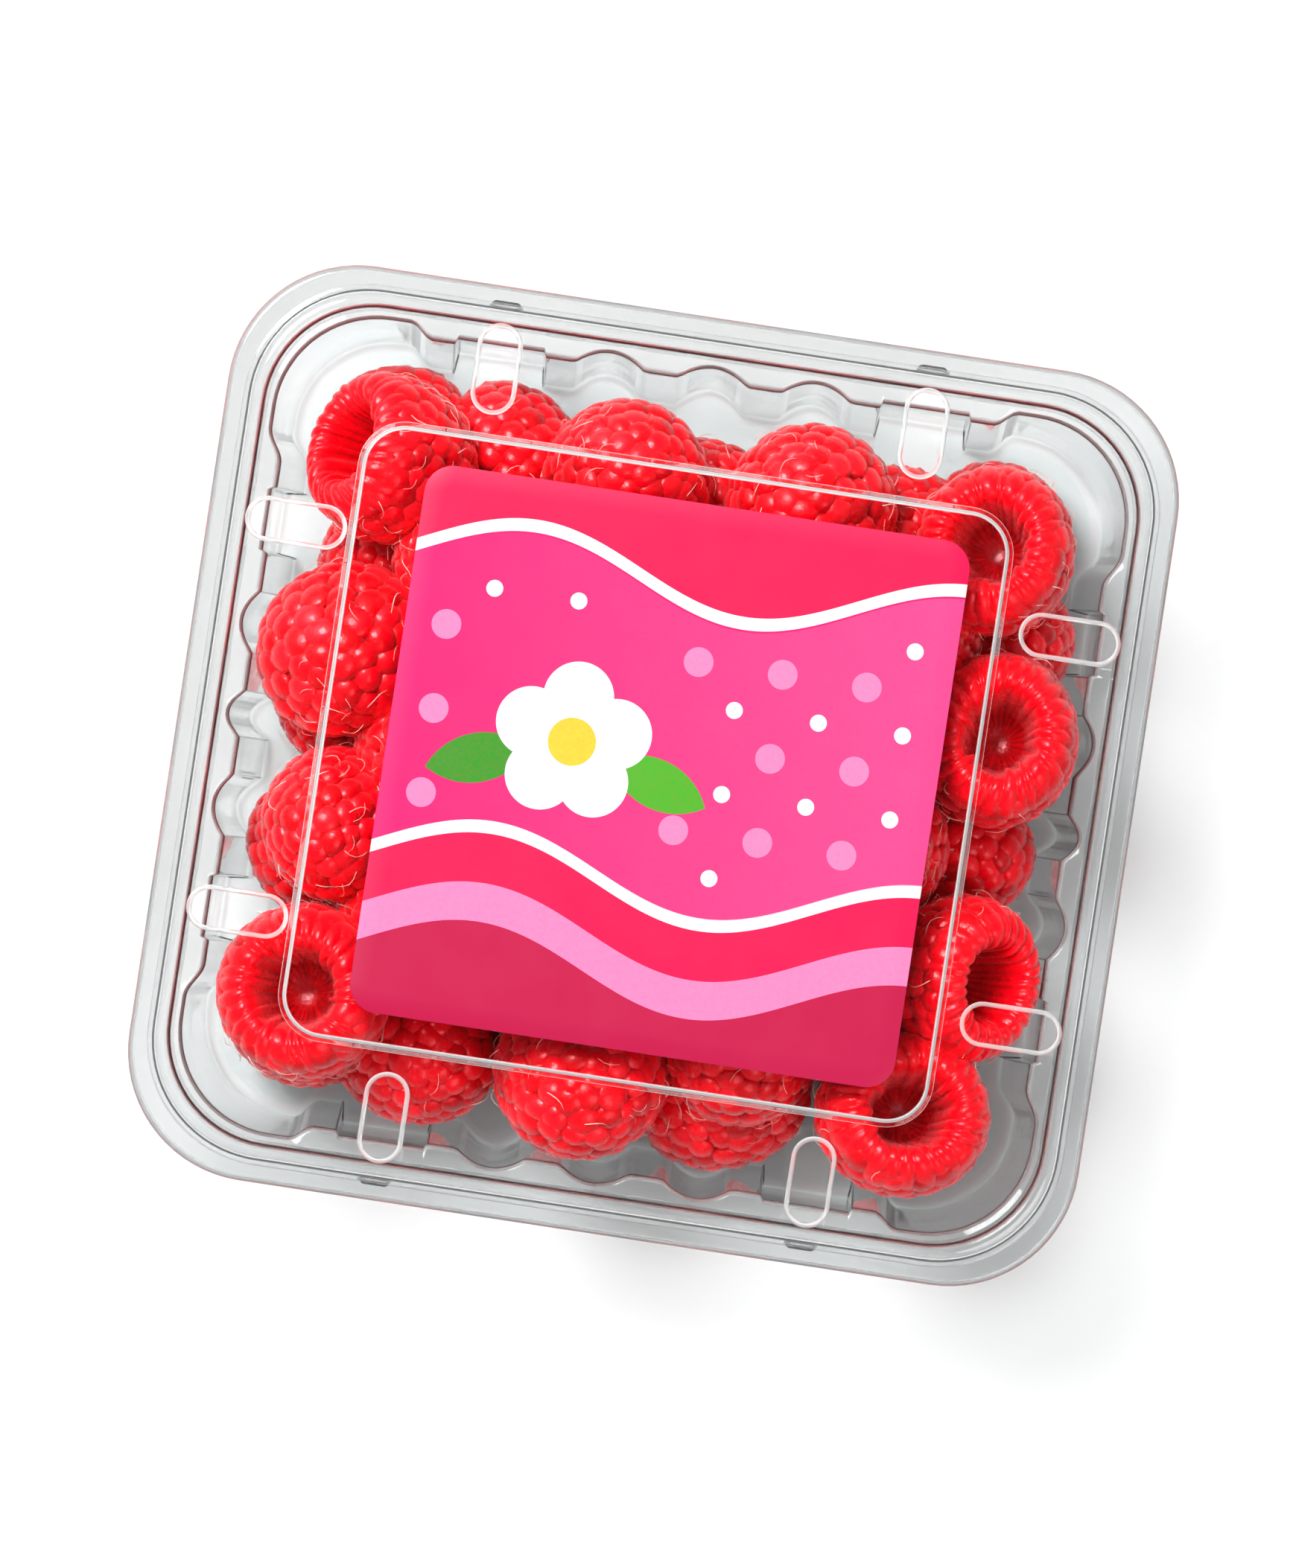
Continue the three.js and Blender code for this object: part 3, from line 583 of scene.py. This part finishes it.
def by_vents(form, inset, z):
    """Places at both vents of each side of one form: middle, axis along, axis out, sizes and tint."""
    places = []
    for side in SIDES:
        if side["form"] is form:
            t, n = np.array((*side["along"], 0.0)), np.array((*side["out"], 0.0))
            for end in (-1, 1):
                spot = t * end * form["vent_at"] + n * (side["reach"] - inset) + (0, 0, z)
                places.append((spot, t, np.array((0.0, 0.0, 1.0)), (1.0, 1.0, 1.0), 0.0))
    return places


def paint_bead_lines(mesh, shoulder):
    """Paints the vents' beads white, a whitened cut edge with a painted highlight: points that belong only
    to faces within a bead's radius of its line.
    """
    spots = np.zeros(3 * len(mesh.vertices), np.float32)
    painted_line = np.zeros(len(mesh.vertices), np.float32)
    near = np.zeros(len(mesh.vertices), bool)
    mesh.vertices.foreach_get("co", spots)
    mesh.attributes["bend"].data.foreach_get("value", painted_line)
    for form in (SHORT_SIDE, LONG_SIDE):
        length = form["vent_end"] - VENT_START_IN
        for middle, along, up, *rest in by_vents(form, VENT_START_IN + length / 2, shoulder):
            off = spots.reshape(-1, 3) / MM - middle
            beyond = np.maximum(np.abs(off @ np.cross(up, along)) - (length - VENT_WIDTH) / 2, 0)
            aside = np.hypot(off @ along, beyond) - VENT_WIDTH / 2 - VENT_BEAD * VENT_BEAD_OUT
            near |= np.hypot(aside, off[:, 2]) < VENT_BEAD * VENT_BEAD_NEAR
    own = near.copy()
    for face in mesh.polygons:
        corners = list(face.vertices)
        if not near[corners].all():
            own[corners] = False
    # White on the beads: a whitened cut edge with a painted highlight line
    painted_line[own] = VENT_PAINTED_LINE
    mesh.attributes["bend"].data.foreach_set("value", painted_line)


def finished_lid(sheet, tree, finish):
    """Adds the snap nubs to the lid, cuts the eight vents through its shoulder and adds their beads."""
    shoulder = SHOULDER_Z - SHOULDER_FALL / 2 + SHEET
    nub_root = LID_WALL_FOOT_IN + SHEET / 2
    tools = [("snap_nubs", snap_nub(), by_vents(LONG_SIDE, nub_root, NUB_Z), "UNION")]
    for name, make, operation in (("vent_cuts", vent_cut, "DIFFERENCE"), ("vent_rims", vent_rim, "UNION")):
        for form in (SHORT_SIDE, LONG_SIDE):
            length = form["vent_end"] - VENT_START_IN
            places = by_vents(form, VENT_START_IN + length / 2, shoulder)
            tools.append((name, make(length), places, operation))
    lid = bpy.data.objects.new("lid_sheet", sheet)
    bpy.context.scene.collection.objects.link(lid)
    spare = [lid]
    for name, form_mesh, places, operation in tools:
        tool = bpy.data.objects.new(name, set_on_places(name, tree, form_mesh, places, finish))
        bpy.context.scene.collection.objects.link(tool)
        spare.append(tool)
        step = lid.modifiers.new(name, "BOOLEAN")
        step.operation, step.solver, step.object = operation, "EXACT", tool
    graph = bpy.context.evaluated_depsgraph_get()
    result = bpy.data.meshes.new_from_object(lid.evaluated_get(graph))
    for made in spare:
        bpy.data.objects.remove(made)
    result.name = "lid_clear"
    paint_bead_lines(result, shoulder)
    smooth(result)
    return result


def label_mesh():
    """Rounded square sticker with softly rounded edges."""
    x, y = LABEL_LENGTH / 2 - LABEL_CORNER, LABEL_WIDTH / 2 - LABEL_CORNER
    low = PANEL_Z + SHEET + LABEL_GAP
    turn = np.linspace(0, math.pi / 2, 17)
    rings = []
    for inset, rise in LABEL_EDGE:
        for k, (sx, sy) in enumerate(((1, 1), (-1, 1), (-1, -1), (1, -1))):
            angle = turn + k * math.pi / 2
            radius = LABEL_CORNER - inset
            rings.append(np.column_stack([sx * x + radius * np.cos(angle) + LABEL_SHIFT,
                                          sy * y + radius * np.sin(angle), np.full(len(turn), low + rise)]))
    points = np.vstack(rings)
    count = 4 * len(turn)
    faces = [tuple(reversed(range(count))), tuple(range(len(points) - count, len(points)))]
    mesh = plain_mesh("label_film", points * MM, faces + bands(len(LABEL_EDGE), count))
    smooth(mesh)
    return mesh


class Draw:
    """The same repeatable draw as the part's source."""

    def __init__(self, seed):
        self.state = seed

    def __call__(self):
        self.state = self.state * 16807 % 2147483647
        return self.state / 2147483647


def spline(knots, per_step):
    """A smooth curve through the knots."""
    p = np.array(knots, float)
    p = np.vstack([2 * p[0] - p[1], p, 2 * p[-1] - p[-2]])
    p[0] = (-p[2][0], p[2][1])
    p[-1] = (-p[-3][0], p[-3][1])
    rows = []
    for i in range(1, len(p) - 2):
        for u in np.arange(per_step) / per_step:
            a, b, c, d = p[i - 1:i + 3]
            rows.append(0.5 * (2 * b + (c - a) * u + (2 * a - 5 * b + 4 * c - d) * u ** 2
                               + (3 * b - a - 3 * c + d) * u ** 3))
    rows.append(p[-2])
    return np.array(rows)


def berry_places(across_x, across_y, length, rng):
    """Drupelets of one berry below its rim, in its own frame, in mm: middle, axes, half sizes, tint."""
    half = (across_x + across_y) / 4
    fine = 24
    curve = spline(BERRY_SKIN + BERRY_CUP, fine)[:round(SHOULDER_KNOT * fine) + 1] * (half, length)
    run = np.concatenate([[0], np.cumsum(np.hypot(*np.diff(curve, axis=0).T))])
    pitch = DRUPELET * half / USUAL_HALF
    rows = round((run[-1] - 0.2 * pitch) / (pitch * ROW_STEP))
    places = []
    for row in range(rows + 1):
        s = run[-1] - row * (run[-1] - 0.1 * pitch) / rows
        r, h = np.interp(s, run, curve[:, 0]), np.interp(s, run, curve[:, 1])
        back = max(s - 0.4, 0)
        slope = math.atan2(h - np.interp(back, run, curve[:, 1]), r - np.interp(back, run, curve[:, 0]))
        count = max(1, round(2 * math.pi * r / pitch))
        phase = rng.random()
        for k in range(count):
            angle = 2 * math.pi * (k + phase + rng.normal() * AROUND_JITTER) / count
            around = np.array([math.cos(angle), math.sin(angle), 0])
            out = math.sin(slope) * around - np.array([0, 0, math.cos(slope)])
            along = math.cos(slope) * around + np.array([0, 0, math.sin(slope)])
            room = min(pitch, 2 * math.pi * max(r, 0.3 * pitch) / count)
            wide = DRUPELET_WIDE * room * rng.uniform(*SIZE_SPREAD)
            long = (TOP_ROW_LONG if row == 0 else DRUPELET_LONG) * pitch * rng.uniform(*SIZE_SPREAD)
            deep = DRUPELET_DEEP * pitch * rng.uniform(*DEPTH_SPREAD)
            spot = r * around + np.array([0, 0, h]) + along * rng.normal() * ALONG_JITTER * pitch - out * deep
            spot[:2] *= (across_x / (2 * half), across_y / (2 * half))
            spin = rng.normal() * SPIN_JITTER
            turned = math.cos(spin) * along + math.sin(spin) * np.cross(out, along)
            places.append((spot, turned, out, (long, wide, deep), rng.uniform(*TINT_SPREAD)))
    return places


def berry_body(across_x, across_y, length, rng, fluted):
    """Skin under the drupelets, the rim's long drupelets and the cup, in the berry's own frame, and tints,
    which paint shade: darker on the skin under the drupelets, in the rim's grooves and deep in the cup.
    """
    half = (across_x + across_y) / 4
    fine = 5
    curve = spline(BERRY_SKIN + BERRY_CUP, fine) * (half, length)
    knot = np.arange(len(curve)) / fine
    kept = (knot % 1 == 0) | ((knot > SHOULDER_KNOT - 1) & (knot < CUP_KNOT + 0.6) & fluted)
    step = np.gradient(curve, axis=0)
    step /= np.hypot(step[:, 0], step[:, 1])[:, None] + 1e-9
    normal = np.column_stack([step[:, 1], -step[:, 0]])
    around = RIM_DRUPELETS * (8 if fluted else 2)
    turn = np.arange(around) * 2 * math.pi / around
    jitter = rng.normal(size=RIM_DRUPELETS) * RIM_JITTER
    edges = np.sort((np.arange(RIM_DRUPELETS) + jitter) * 2 * math.pi / RIM_DRUPELETS)
    swell = rng.uniform(*RIM_SWELL, RIM_DRUPELETS)
    reach = rng.normal(size=RIM_DRUPELETS) * CUP_UNEVEN
    twist = rng.normal() * CUP_TWIST
    rings, tints = [], []
    for k in np.flatnonzero(kept):
        (r, h), (nr, nh) = curve[k], normal[k]
        shifted = turn + twist * (knot[k] - RIM_KNOT) + rng.normal() * RING_JITTER
        spun = (shifted - edges[0]) % (2 * math.pi) + edges[0]
        which = np.clip(np.searchsorted(edges, spun, side="right") - 1, 0, RIM_DRUPELETS - 1)
        ends = np.append(edges, edges[0] + 2 * math.pi)
        share = (spun - ends[which]) / (ends[which + 1] - ends[which])
        bulge = (1 - np.abs(2 * share - 1) ** 2.2) * swell[which]
        skin = ease((knot[k] - (SHOULDER_KNOT - 0.9)) / 0.9)
        rim = skin * (1 - 0.8 * ease((knot[k] - RIM_KNOT - 0.5) / (CUP_KNOT - RIM_KNOT)))
        inner = ease((knot[k] - RIM_KNOT - 0.4) / 0.8) * (1 - ease((knot[k] - CUP_KNOT) / 0.8))
        off = -SKIN_UNDER * (1 - skin) + RIM_GROOVE * rim * (bulge - 1) + inner * reach[which] * bulge
        off = off * half / USUAL_HALF
        radius = np.maximum(r + off * nr, 0)
        if k in (0, len(curve) - 1):
            radius, off = np.zeros(around), np.full(around, np.mean(off))
        rings.append(np.column_stack([radius * np.cos(turn) * across_x / (2 * half),
                                      radius * np.sin(turn) * across_y / (2 * half), h + off * nh]))
        # Painted shade in the tint: darker on the skin under the drupelets, in the rim's grooves and deep in
        # the cup
        depth = ease((knot[k] - RIM_KNOT - 0.6) / 2.4)
        tints.append(np.clip(0.15 + 0.45 * skin * (0.45 + 0.55 * bulge) - 0.4 * depth, 0, 1))
    return np.array(rings), np.array(tints)


def mouth_turn(compass, lean):
    tilt, turn = math.radians(lean), math.radians(compass)
    mouth = Vector((math.sin(tilt) * math.cos(turn), math.sin(tilt) * math.sin(turn), math.cos(tilt)))
    return np.array(Vector((0, 0, 1)).rotation_difference(mouth).to_matrix())


def lay_berries():
    """All berries as they lie: drupelet places and body rings, in mm, upper ones first."""
    rng = np.random.default_rng(SEED)
    draw = Draw(SEED)
    rows = [(x, y, top, None, *form) for x, y, top, *form in UPPER_BERRIES]
    for x, y, top, size in INNER_BERRIES:
        lean = INNER_LEAN[0] + (INNER_LEAN[1] - INNER_LEAN[0]) * draw()
        rows.append((x, y, top, None, size, size, size, 360 * draw(), lean))
    for x, y, size in LOWER_BERRIES:
        lean = LOWER_LEAN[0] + (LOWER_LEAN[1] - LOWER_LEAN[0]) * draw()
        rows.append((x, y, None, LOWER_REST_Z, size, size, size, 360 * draw(), lean))
    berries = []
    for x, y, top, rest, across_x, across_y, length, compass, lean in rows:
        turn = mouth_turn(compass, lean)
        places = [(turn @ spot, turn @ along, turn @ out, size, tint)
                  for spot, along, out, size, tint in berry_places(across_x, across_y, length, rng)]
        rings, tints = berry_body(across_x, across_y, length, rng, rest is None and lean < CUP_LEAN)
        rings = rings @ turn.T
        tops = [spot[2] + max(out[2], 0) * size[2] for spot, along, out, size, tint in places]
        feet = [spot[2] + min(out[2], 0) * size[2] for spot, along, out, size, tint in places]
        hung, stood = max(*tops, rings[..., 2].max()), min(*feet, rings[..., 2].min())
        move = np.array([x, y, top - hung if rest is None else rest - stood])
        places = [(spot + move, along, out, size, tint) for spot, along, out, size, tint in places]
        berries.append(dict(upper=rest is None, places=places, rings=rings + move, tints=tints))
    return berries


def drupelet_mesh(around=10):
    """One drupelet: a round-topped bead, flatter below."""
    heights = ((0.0, 1.0), (0.42, 0.9), (0.76, 0.63), (0.97, 0.2), (0.9, -0.3))
    points = [(0, 0, 1.0)]
    for radius, z in heights[1:]:
        for k in range(around):
            turn = 2 * math.pi * k / around
            points.append((radius * math.cos(turn), radius * math.sin(turn), z))
    points.append((0, 0, -0.6))
    faces = [(0, 1 + k, 1 + (k + 1) % around) for k in range(around)]
    for row in range(len(heights) - 2):
        a, b = 1 + row * around, 1 + (row + 1) * around
        faces += [(a + k, b + k, b + (k + 1) % around, a + (k + 1) % around) for k in range(around)]
    last = 1 + (len(heights) - 2) * around
    faces += [(len(points) - 1, last + (k + 1) % around, last + k) for k in range(around)]
    mesh = plain_mesh("drupelet", points, faces)
    # crease: share of painted shade, a darker red towards the drupelet's lower part
    mark(mesh, "crease", [min(max((CREASE_FROM - z) / CREASE_OVER, 0.0), 1.0) for x, y, z in points])
    mesh.shade_smooth()
    return mesh


def hair_mesh(steps=4, sides=3):
    """One dried style: a thin hair that rises from a drupelet and curls over, one unit long."""
    points = []
    for k in range(steps + 1):
        u = k / steps
        arch = HAIR_ARCH * math.sin(math.pi * min(u * 1.1, 1.0))
        middle = Vector((u * HAIR_RUN, HAIR_CURL * math.sin(2.4 * u), arch))
        thick = HAIR_THICK * (1 - HAIR_TAPER * u)
        for s in range(sides):
            turn = 2 * math.pi * s / sides
            points.append(middle + Vector((0, math.cos(turn), math.sin(turn))) * thick)
    ends = [tuple(reversed(range(sides))), tuple(steps * sides + s for s in range(sides))]
    mesh = plain_mesh("hair", points, bands(steps + 1, sides) + ends)
    mesh.shade_smooth()
    return mesh


def setting_tree():
    """Sets one small form on each place, turned and sized by the place's own values, as one plain mesh."""
    tree = bpy.data.node_groups.new("set on places", "GeometryNodeTree")
    tree.interface.new_socket("Places", in_out="INPUT", socket_type="NodeSocketGeometry")
    tree.interface.new_socket("Form", in_out="INPUT", socket_type="NodeSocketObject")
    tree.interface.new_socket("Finish", in_out="INPUT", socket_type="NodeSocketMaterial")
    tree.interface.new_socket("Set", in_out="OUTPUT", socket_type="NodeSocketGeometry")
    given = add(tree, "NodeGroupInput")
    form = add(tree, "GeometryNodeObjectInfo", {"Object": given.outputs["Form"]})
    turn = add(tree, "GeometryNodeInputNamedAttribute", {"Name": "turn"}, data_type="FLOAT_VECTOR")
    size = add(tree, "GeometryNodeInputNamedAttribute", {"Name": "size"}, data_type="FLOAT_VECTOR")
    angle = add(tree, "FunctionNodeEulerToRotation", {0: turn.outputs["Attribute"]})
    placed = add(tree, "GeometryNodeInstanceOnPoints", {
        "Points": given.outputs["Places"], "Instance": form.outputs["Geometry"],
        "Rotation": angle.outputs[0], "Scale": size.outputs["Attribute"]})
    real = add(tree, "GeometryNodeRealizeInstances", {0: placed.outputs[0]})
    finished = add(tree, "GeometryNodeSetMaterial", {
        "Geometry": real.outputs[0], "Material": given.outputs["Finish"]})
    add(tree, "NodeGroupOutput", {0: finished.outputs[0]})
    return tree


def set_on_places(name, tree, form_mesh, places, finish):
    """places: middle, axis along, axis out, half sizes and tint, in mm. Gives one plain mesh."""
    mesh = plain_mesh(name, [spot * MM for spot, *rest in places], [])
    turns, sizes, tints = [], [], []
    for spot, along, out, size, tint in places:
        across = np.cross(out, along)
        turns.extend(Matrix(np.column_stack([along, across, out]).tolist()).to_euler())
        sizes.extend(np.array(size) * MM)
        tints.append(tint)
    for key, values in (("turn", turns), ("size", sizes)):
        given = mesh.attributes.new(key, "FLOAT_VECTOR", "POINT")
        given.data.foreach_set("vector", np.array(values, np.float32))
    mark(mesh, "tint", tints)
    form = bpy.data.objects.new(name + "_form", form_mesh)
    holder = bpy.data.objects.new(name + "_places", mesh)
    bpy.context.scene.collection.objects.link(holder)
    setting = holder.modifiers.new("set on places", "NODES")
    setting.node_group = tree
    ids = {item.name: item.identifier for item in tree.interface.items_tree}
    setting[ids["Form"]] = form
    setting[ids["Finish"]] = finish
    graph = bpy.context.evaluated_depsgraph_get()
    made = bpy.data.meshes.new_from_object(holder.evaluated_get(graph))
    made.name = name
    for spare in ("turn", "size"):
        if spare in made.attributes:
            made.attributes.remove(made.attributes[spare])
    bpy.data.objects.remove(holder)
    bpy.data.objects.remove(form)
    return made


def squared(value):
    """A share from -1 to 1 pushed outwards, which makes a round core boxy."""
    return math.copysign(abs(value) ** CORE_ROUND, value)


def flesh_mesh(berries):
    """Bodies of the berries with their cups, and the core of the heap, as one mesh."""
    points, faces, tints = [], [], []
    for berry in berries:
        rows, around = berry["rings"].shape[:2]
        faces += bands(rows, around, len(points))
        points += berry["rings"].reshape(-1, 3).tolist()
        tints += berry["tints"].reshape(-1).tolist()
    # The core of the heap takes tint nought, the darkest red: a dark body painted as shade between the
    # berries
    faces += bands(CORE_ROWS, CORE_AROUND, len(points))
    for r in range(CORE_ROWS):
        lat = -math.pi / 2 + math.pi * r / (CORE_ROWS - 1)
        flat = squared(math.cos(lat)) if r not in (0, CORE_ROWS - 1) else 0.0
        z = (CORE_FROM_Z + CORE_TO_Z) / 2 + squared(math.sin(lat)) * (CORE_TO_Z - CORE_FROM_Z) / 2
        for k in range(CORE_AROUND):
            lon = 2 * math.pi * k / CORE_AROUND
            points.append((squared(math.cos(lon)) * flat * CORE_LENGTH / 2 * CORE_SHRINK,
                           squared(math.sin(lon)) * flat * CORE_WIDTH / 2 * CORE_SHRINK, z))
            tints.append(0.0)
    mesh = plain_mesh("berry_flesh", np.array(points) * MM, faces)
    mark(mesh, "tint", tints)
    closing = bmesh.new()
    closing.from_mesh(mesh)
    bmesh.ops.remove_doubles(closing, verts=closing.verts, dist=POLE_MERGE * MM)
    closing.to_mesh(mesh)
    closing.free()
    mesh.shade_smooth()
    return mesh


def hidden(spot):
    """True well inside the heap, where nothing shows."""
    return (abs(spot[0]) < CORE_LENGTH / 2 - HIDDEN_IN and abs(spot[1]) < CORE_WIDTH / 2 - HIDDEN_IN
            and CORE_FROM_Z + HIDDEN_IN < spot[2] < CORE_TO_Z - HIDDEN_IN)


def grow_hairs(places, share, rng):
    """Places of hairs on a share of the drupelets, each inside the pack."""
    hairs = []
    for spot, along, out, size, tint in places:
        if rng.random() < share:
            turn = rng.uniform(0, 2 * math.pi)
            way = math.cos(turn) * along + math.sin(turn) * np.cross(out, along)
            long = rng.uniform(*HAIR_LENGTH)
            tip = spot + out * size[2] + way * long
            inside = abs(tip[0]) < HAIR_REACH[0] and abs(tip[1]) < HAIR_REACH[1]
            if inside and HAIR_LOW < tip[2] < HAIR_HIGH:
                hairs.append((spot + out * size[2] * 0.97, way, out, (long, long, long), 0.5))
    return hairs


def lamp(name, place, size, watts):
    """A round soft lamp that faces the punnet, in metres and watts."""
    light = bpy.data.lights.new(name, "AREA")
    light.energy, light.shape, light.size = watts, "DISK", size
    made = bpy.data.objects.new(name, light)
    bpy.context.scene.collection.objects.link(made)
    made.location = place
    made.rotation_euler = (-Vector(place)).to_track_quat("-Z", "Y").to_euler()


clear_tray = clear_sheet("clear PET tray")
clear_lid = clear_sheet("clear PET lid")
skin = raspberry_skin()
hair = raspberry_hair()
ink = label_print()

setting = setting_tree()
tray = piece("tray_clear", tray_mesh(), clear_tray)
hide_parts("tray")
lid = piece("lid_clear", finished_lid(lid_mesh(), setting, clear_lid), clear_lid)
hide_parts("lid")
label = piece("label_film", label_mesh(), ink)
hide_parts("label")

berries = lay_berries()
flesh = piece("berry_flesh", flesh_mesh(berries), skin)
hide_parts("raspberries")
hair_rng = np.random.default_rng(SEED + 1)
hairs = []
for layer, upper in (("upper", True), ("lower", False)):
    places = [p for berry in berries if berry["upper"] == upper for p in berry["places"] if not hidden(p[0])]
    name = "berries_" + layer
    drupelets = piece(name, set_on_places(name, setting, drupelet_mesh(), places, skin))
    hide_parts("raspberries")
    hairs += grow_hairs(places, HAIR_SHARE[layer], hair_rng)
strands = piece("berry_hairs", set_on_places("berry_hairs", setting, hair_mesh(), hairs, hair))
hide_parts("raspberries")

# Stage: pale floor, a large soft lamp from the upper left, a weak fill and an even pale surround
corners = ((-1, -1), (1, -1), (1, 1), (-1, 1))
floor_mesh = plain_mesh(
    "floor", [(x * FLOOR_REACH, y * FLOOR_REACH, FLOOR_Z) for x, y in corners], [(0, 1, 2, 3)])
floor = bpy.data.objects.new("floor", floor_mesh)
bpy.context.scene.collection.objects.link(floor)
paper, tree = new_material("pale studio paper")
sheet = add(tree, "ShaderNodeBsdfPrincipled", {"Base Color": linear("#DFDFDF"), "Roughness": 0.8})
add(tree, "ShaderNodeOutputMaterial", {"Surface": sheet.outputs[0]})
floor_mesh.materials.append(paper)

lamp("key", (-0.50, 0.48, 1.10), 0.55, 21.0)
lamp("fill", (0.62, -0.55, 1.00), 0.8, 6.0)

world = bpy.data.worlds.new("studio")
bpy.context.scene.world = world
world.use_nodes = True
world.node_tree.nodes.clear()
way = add(world.node_tree, "ShaderNodeTexCoord")
rise = add(world.node_tree, "ShaderNodeSeparateXYZ", {0: way.outputs["Generated"]})
sky = ramp(world.node_tree, rise.outputs["Z"], (
    (0.0, "#FFFFFF"), (0.6, "#E8E8E8"), (0.9, "#5A5A5A"), (1.0, "#2A2A2A")))
surround = add(world.node_tree, "ShaderNodeBackground", {"Color": sky, "Strength": 0.5})
add(world.node_tree, "ShaderNodeOutputWorld", {"Surface": surround.outputs[0]})
bpy.context.scene.view_settings.view_transform = "Standard"

# Camera straight above, turned as in the picture, with the punnet a little right of and above the middle
camera_data = bpy.data.cameras.new("camera")
camera_data.sensor_width = SENSOR
camera_data.lens = SENSOR * DISTANCE / FRAME_HEIGHT
camera_data.clip_end = 20.0
camera = bpy.data.objects.new("camera", camera_data)
bpy.context.scene.collection.objects.link(camera)
right = Vector((math.cos(TURN), math.sin(TURN), 0))
up = Vector((-math.sin(TURN), math.cos(TURN), 0))
camera.location = right * SHIFT_RIGHT + up * SHIFT_UP + Vector((0, 0, RIM_PLANE + DISTANCE))
camera.rotation_euler = (0, 0, TURN)
bpy.context.scene.camera = camera
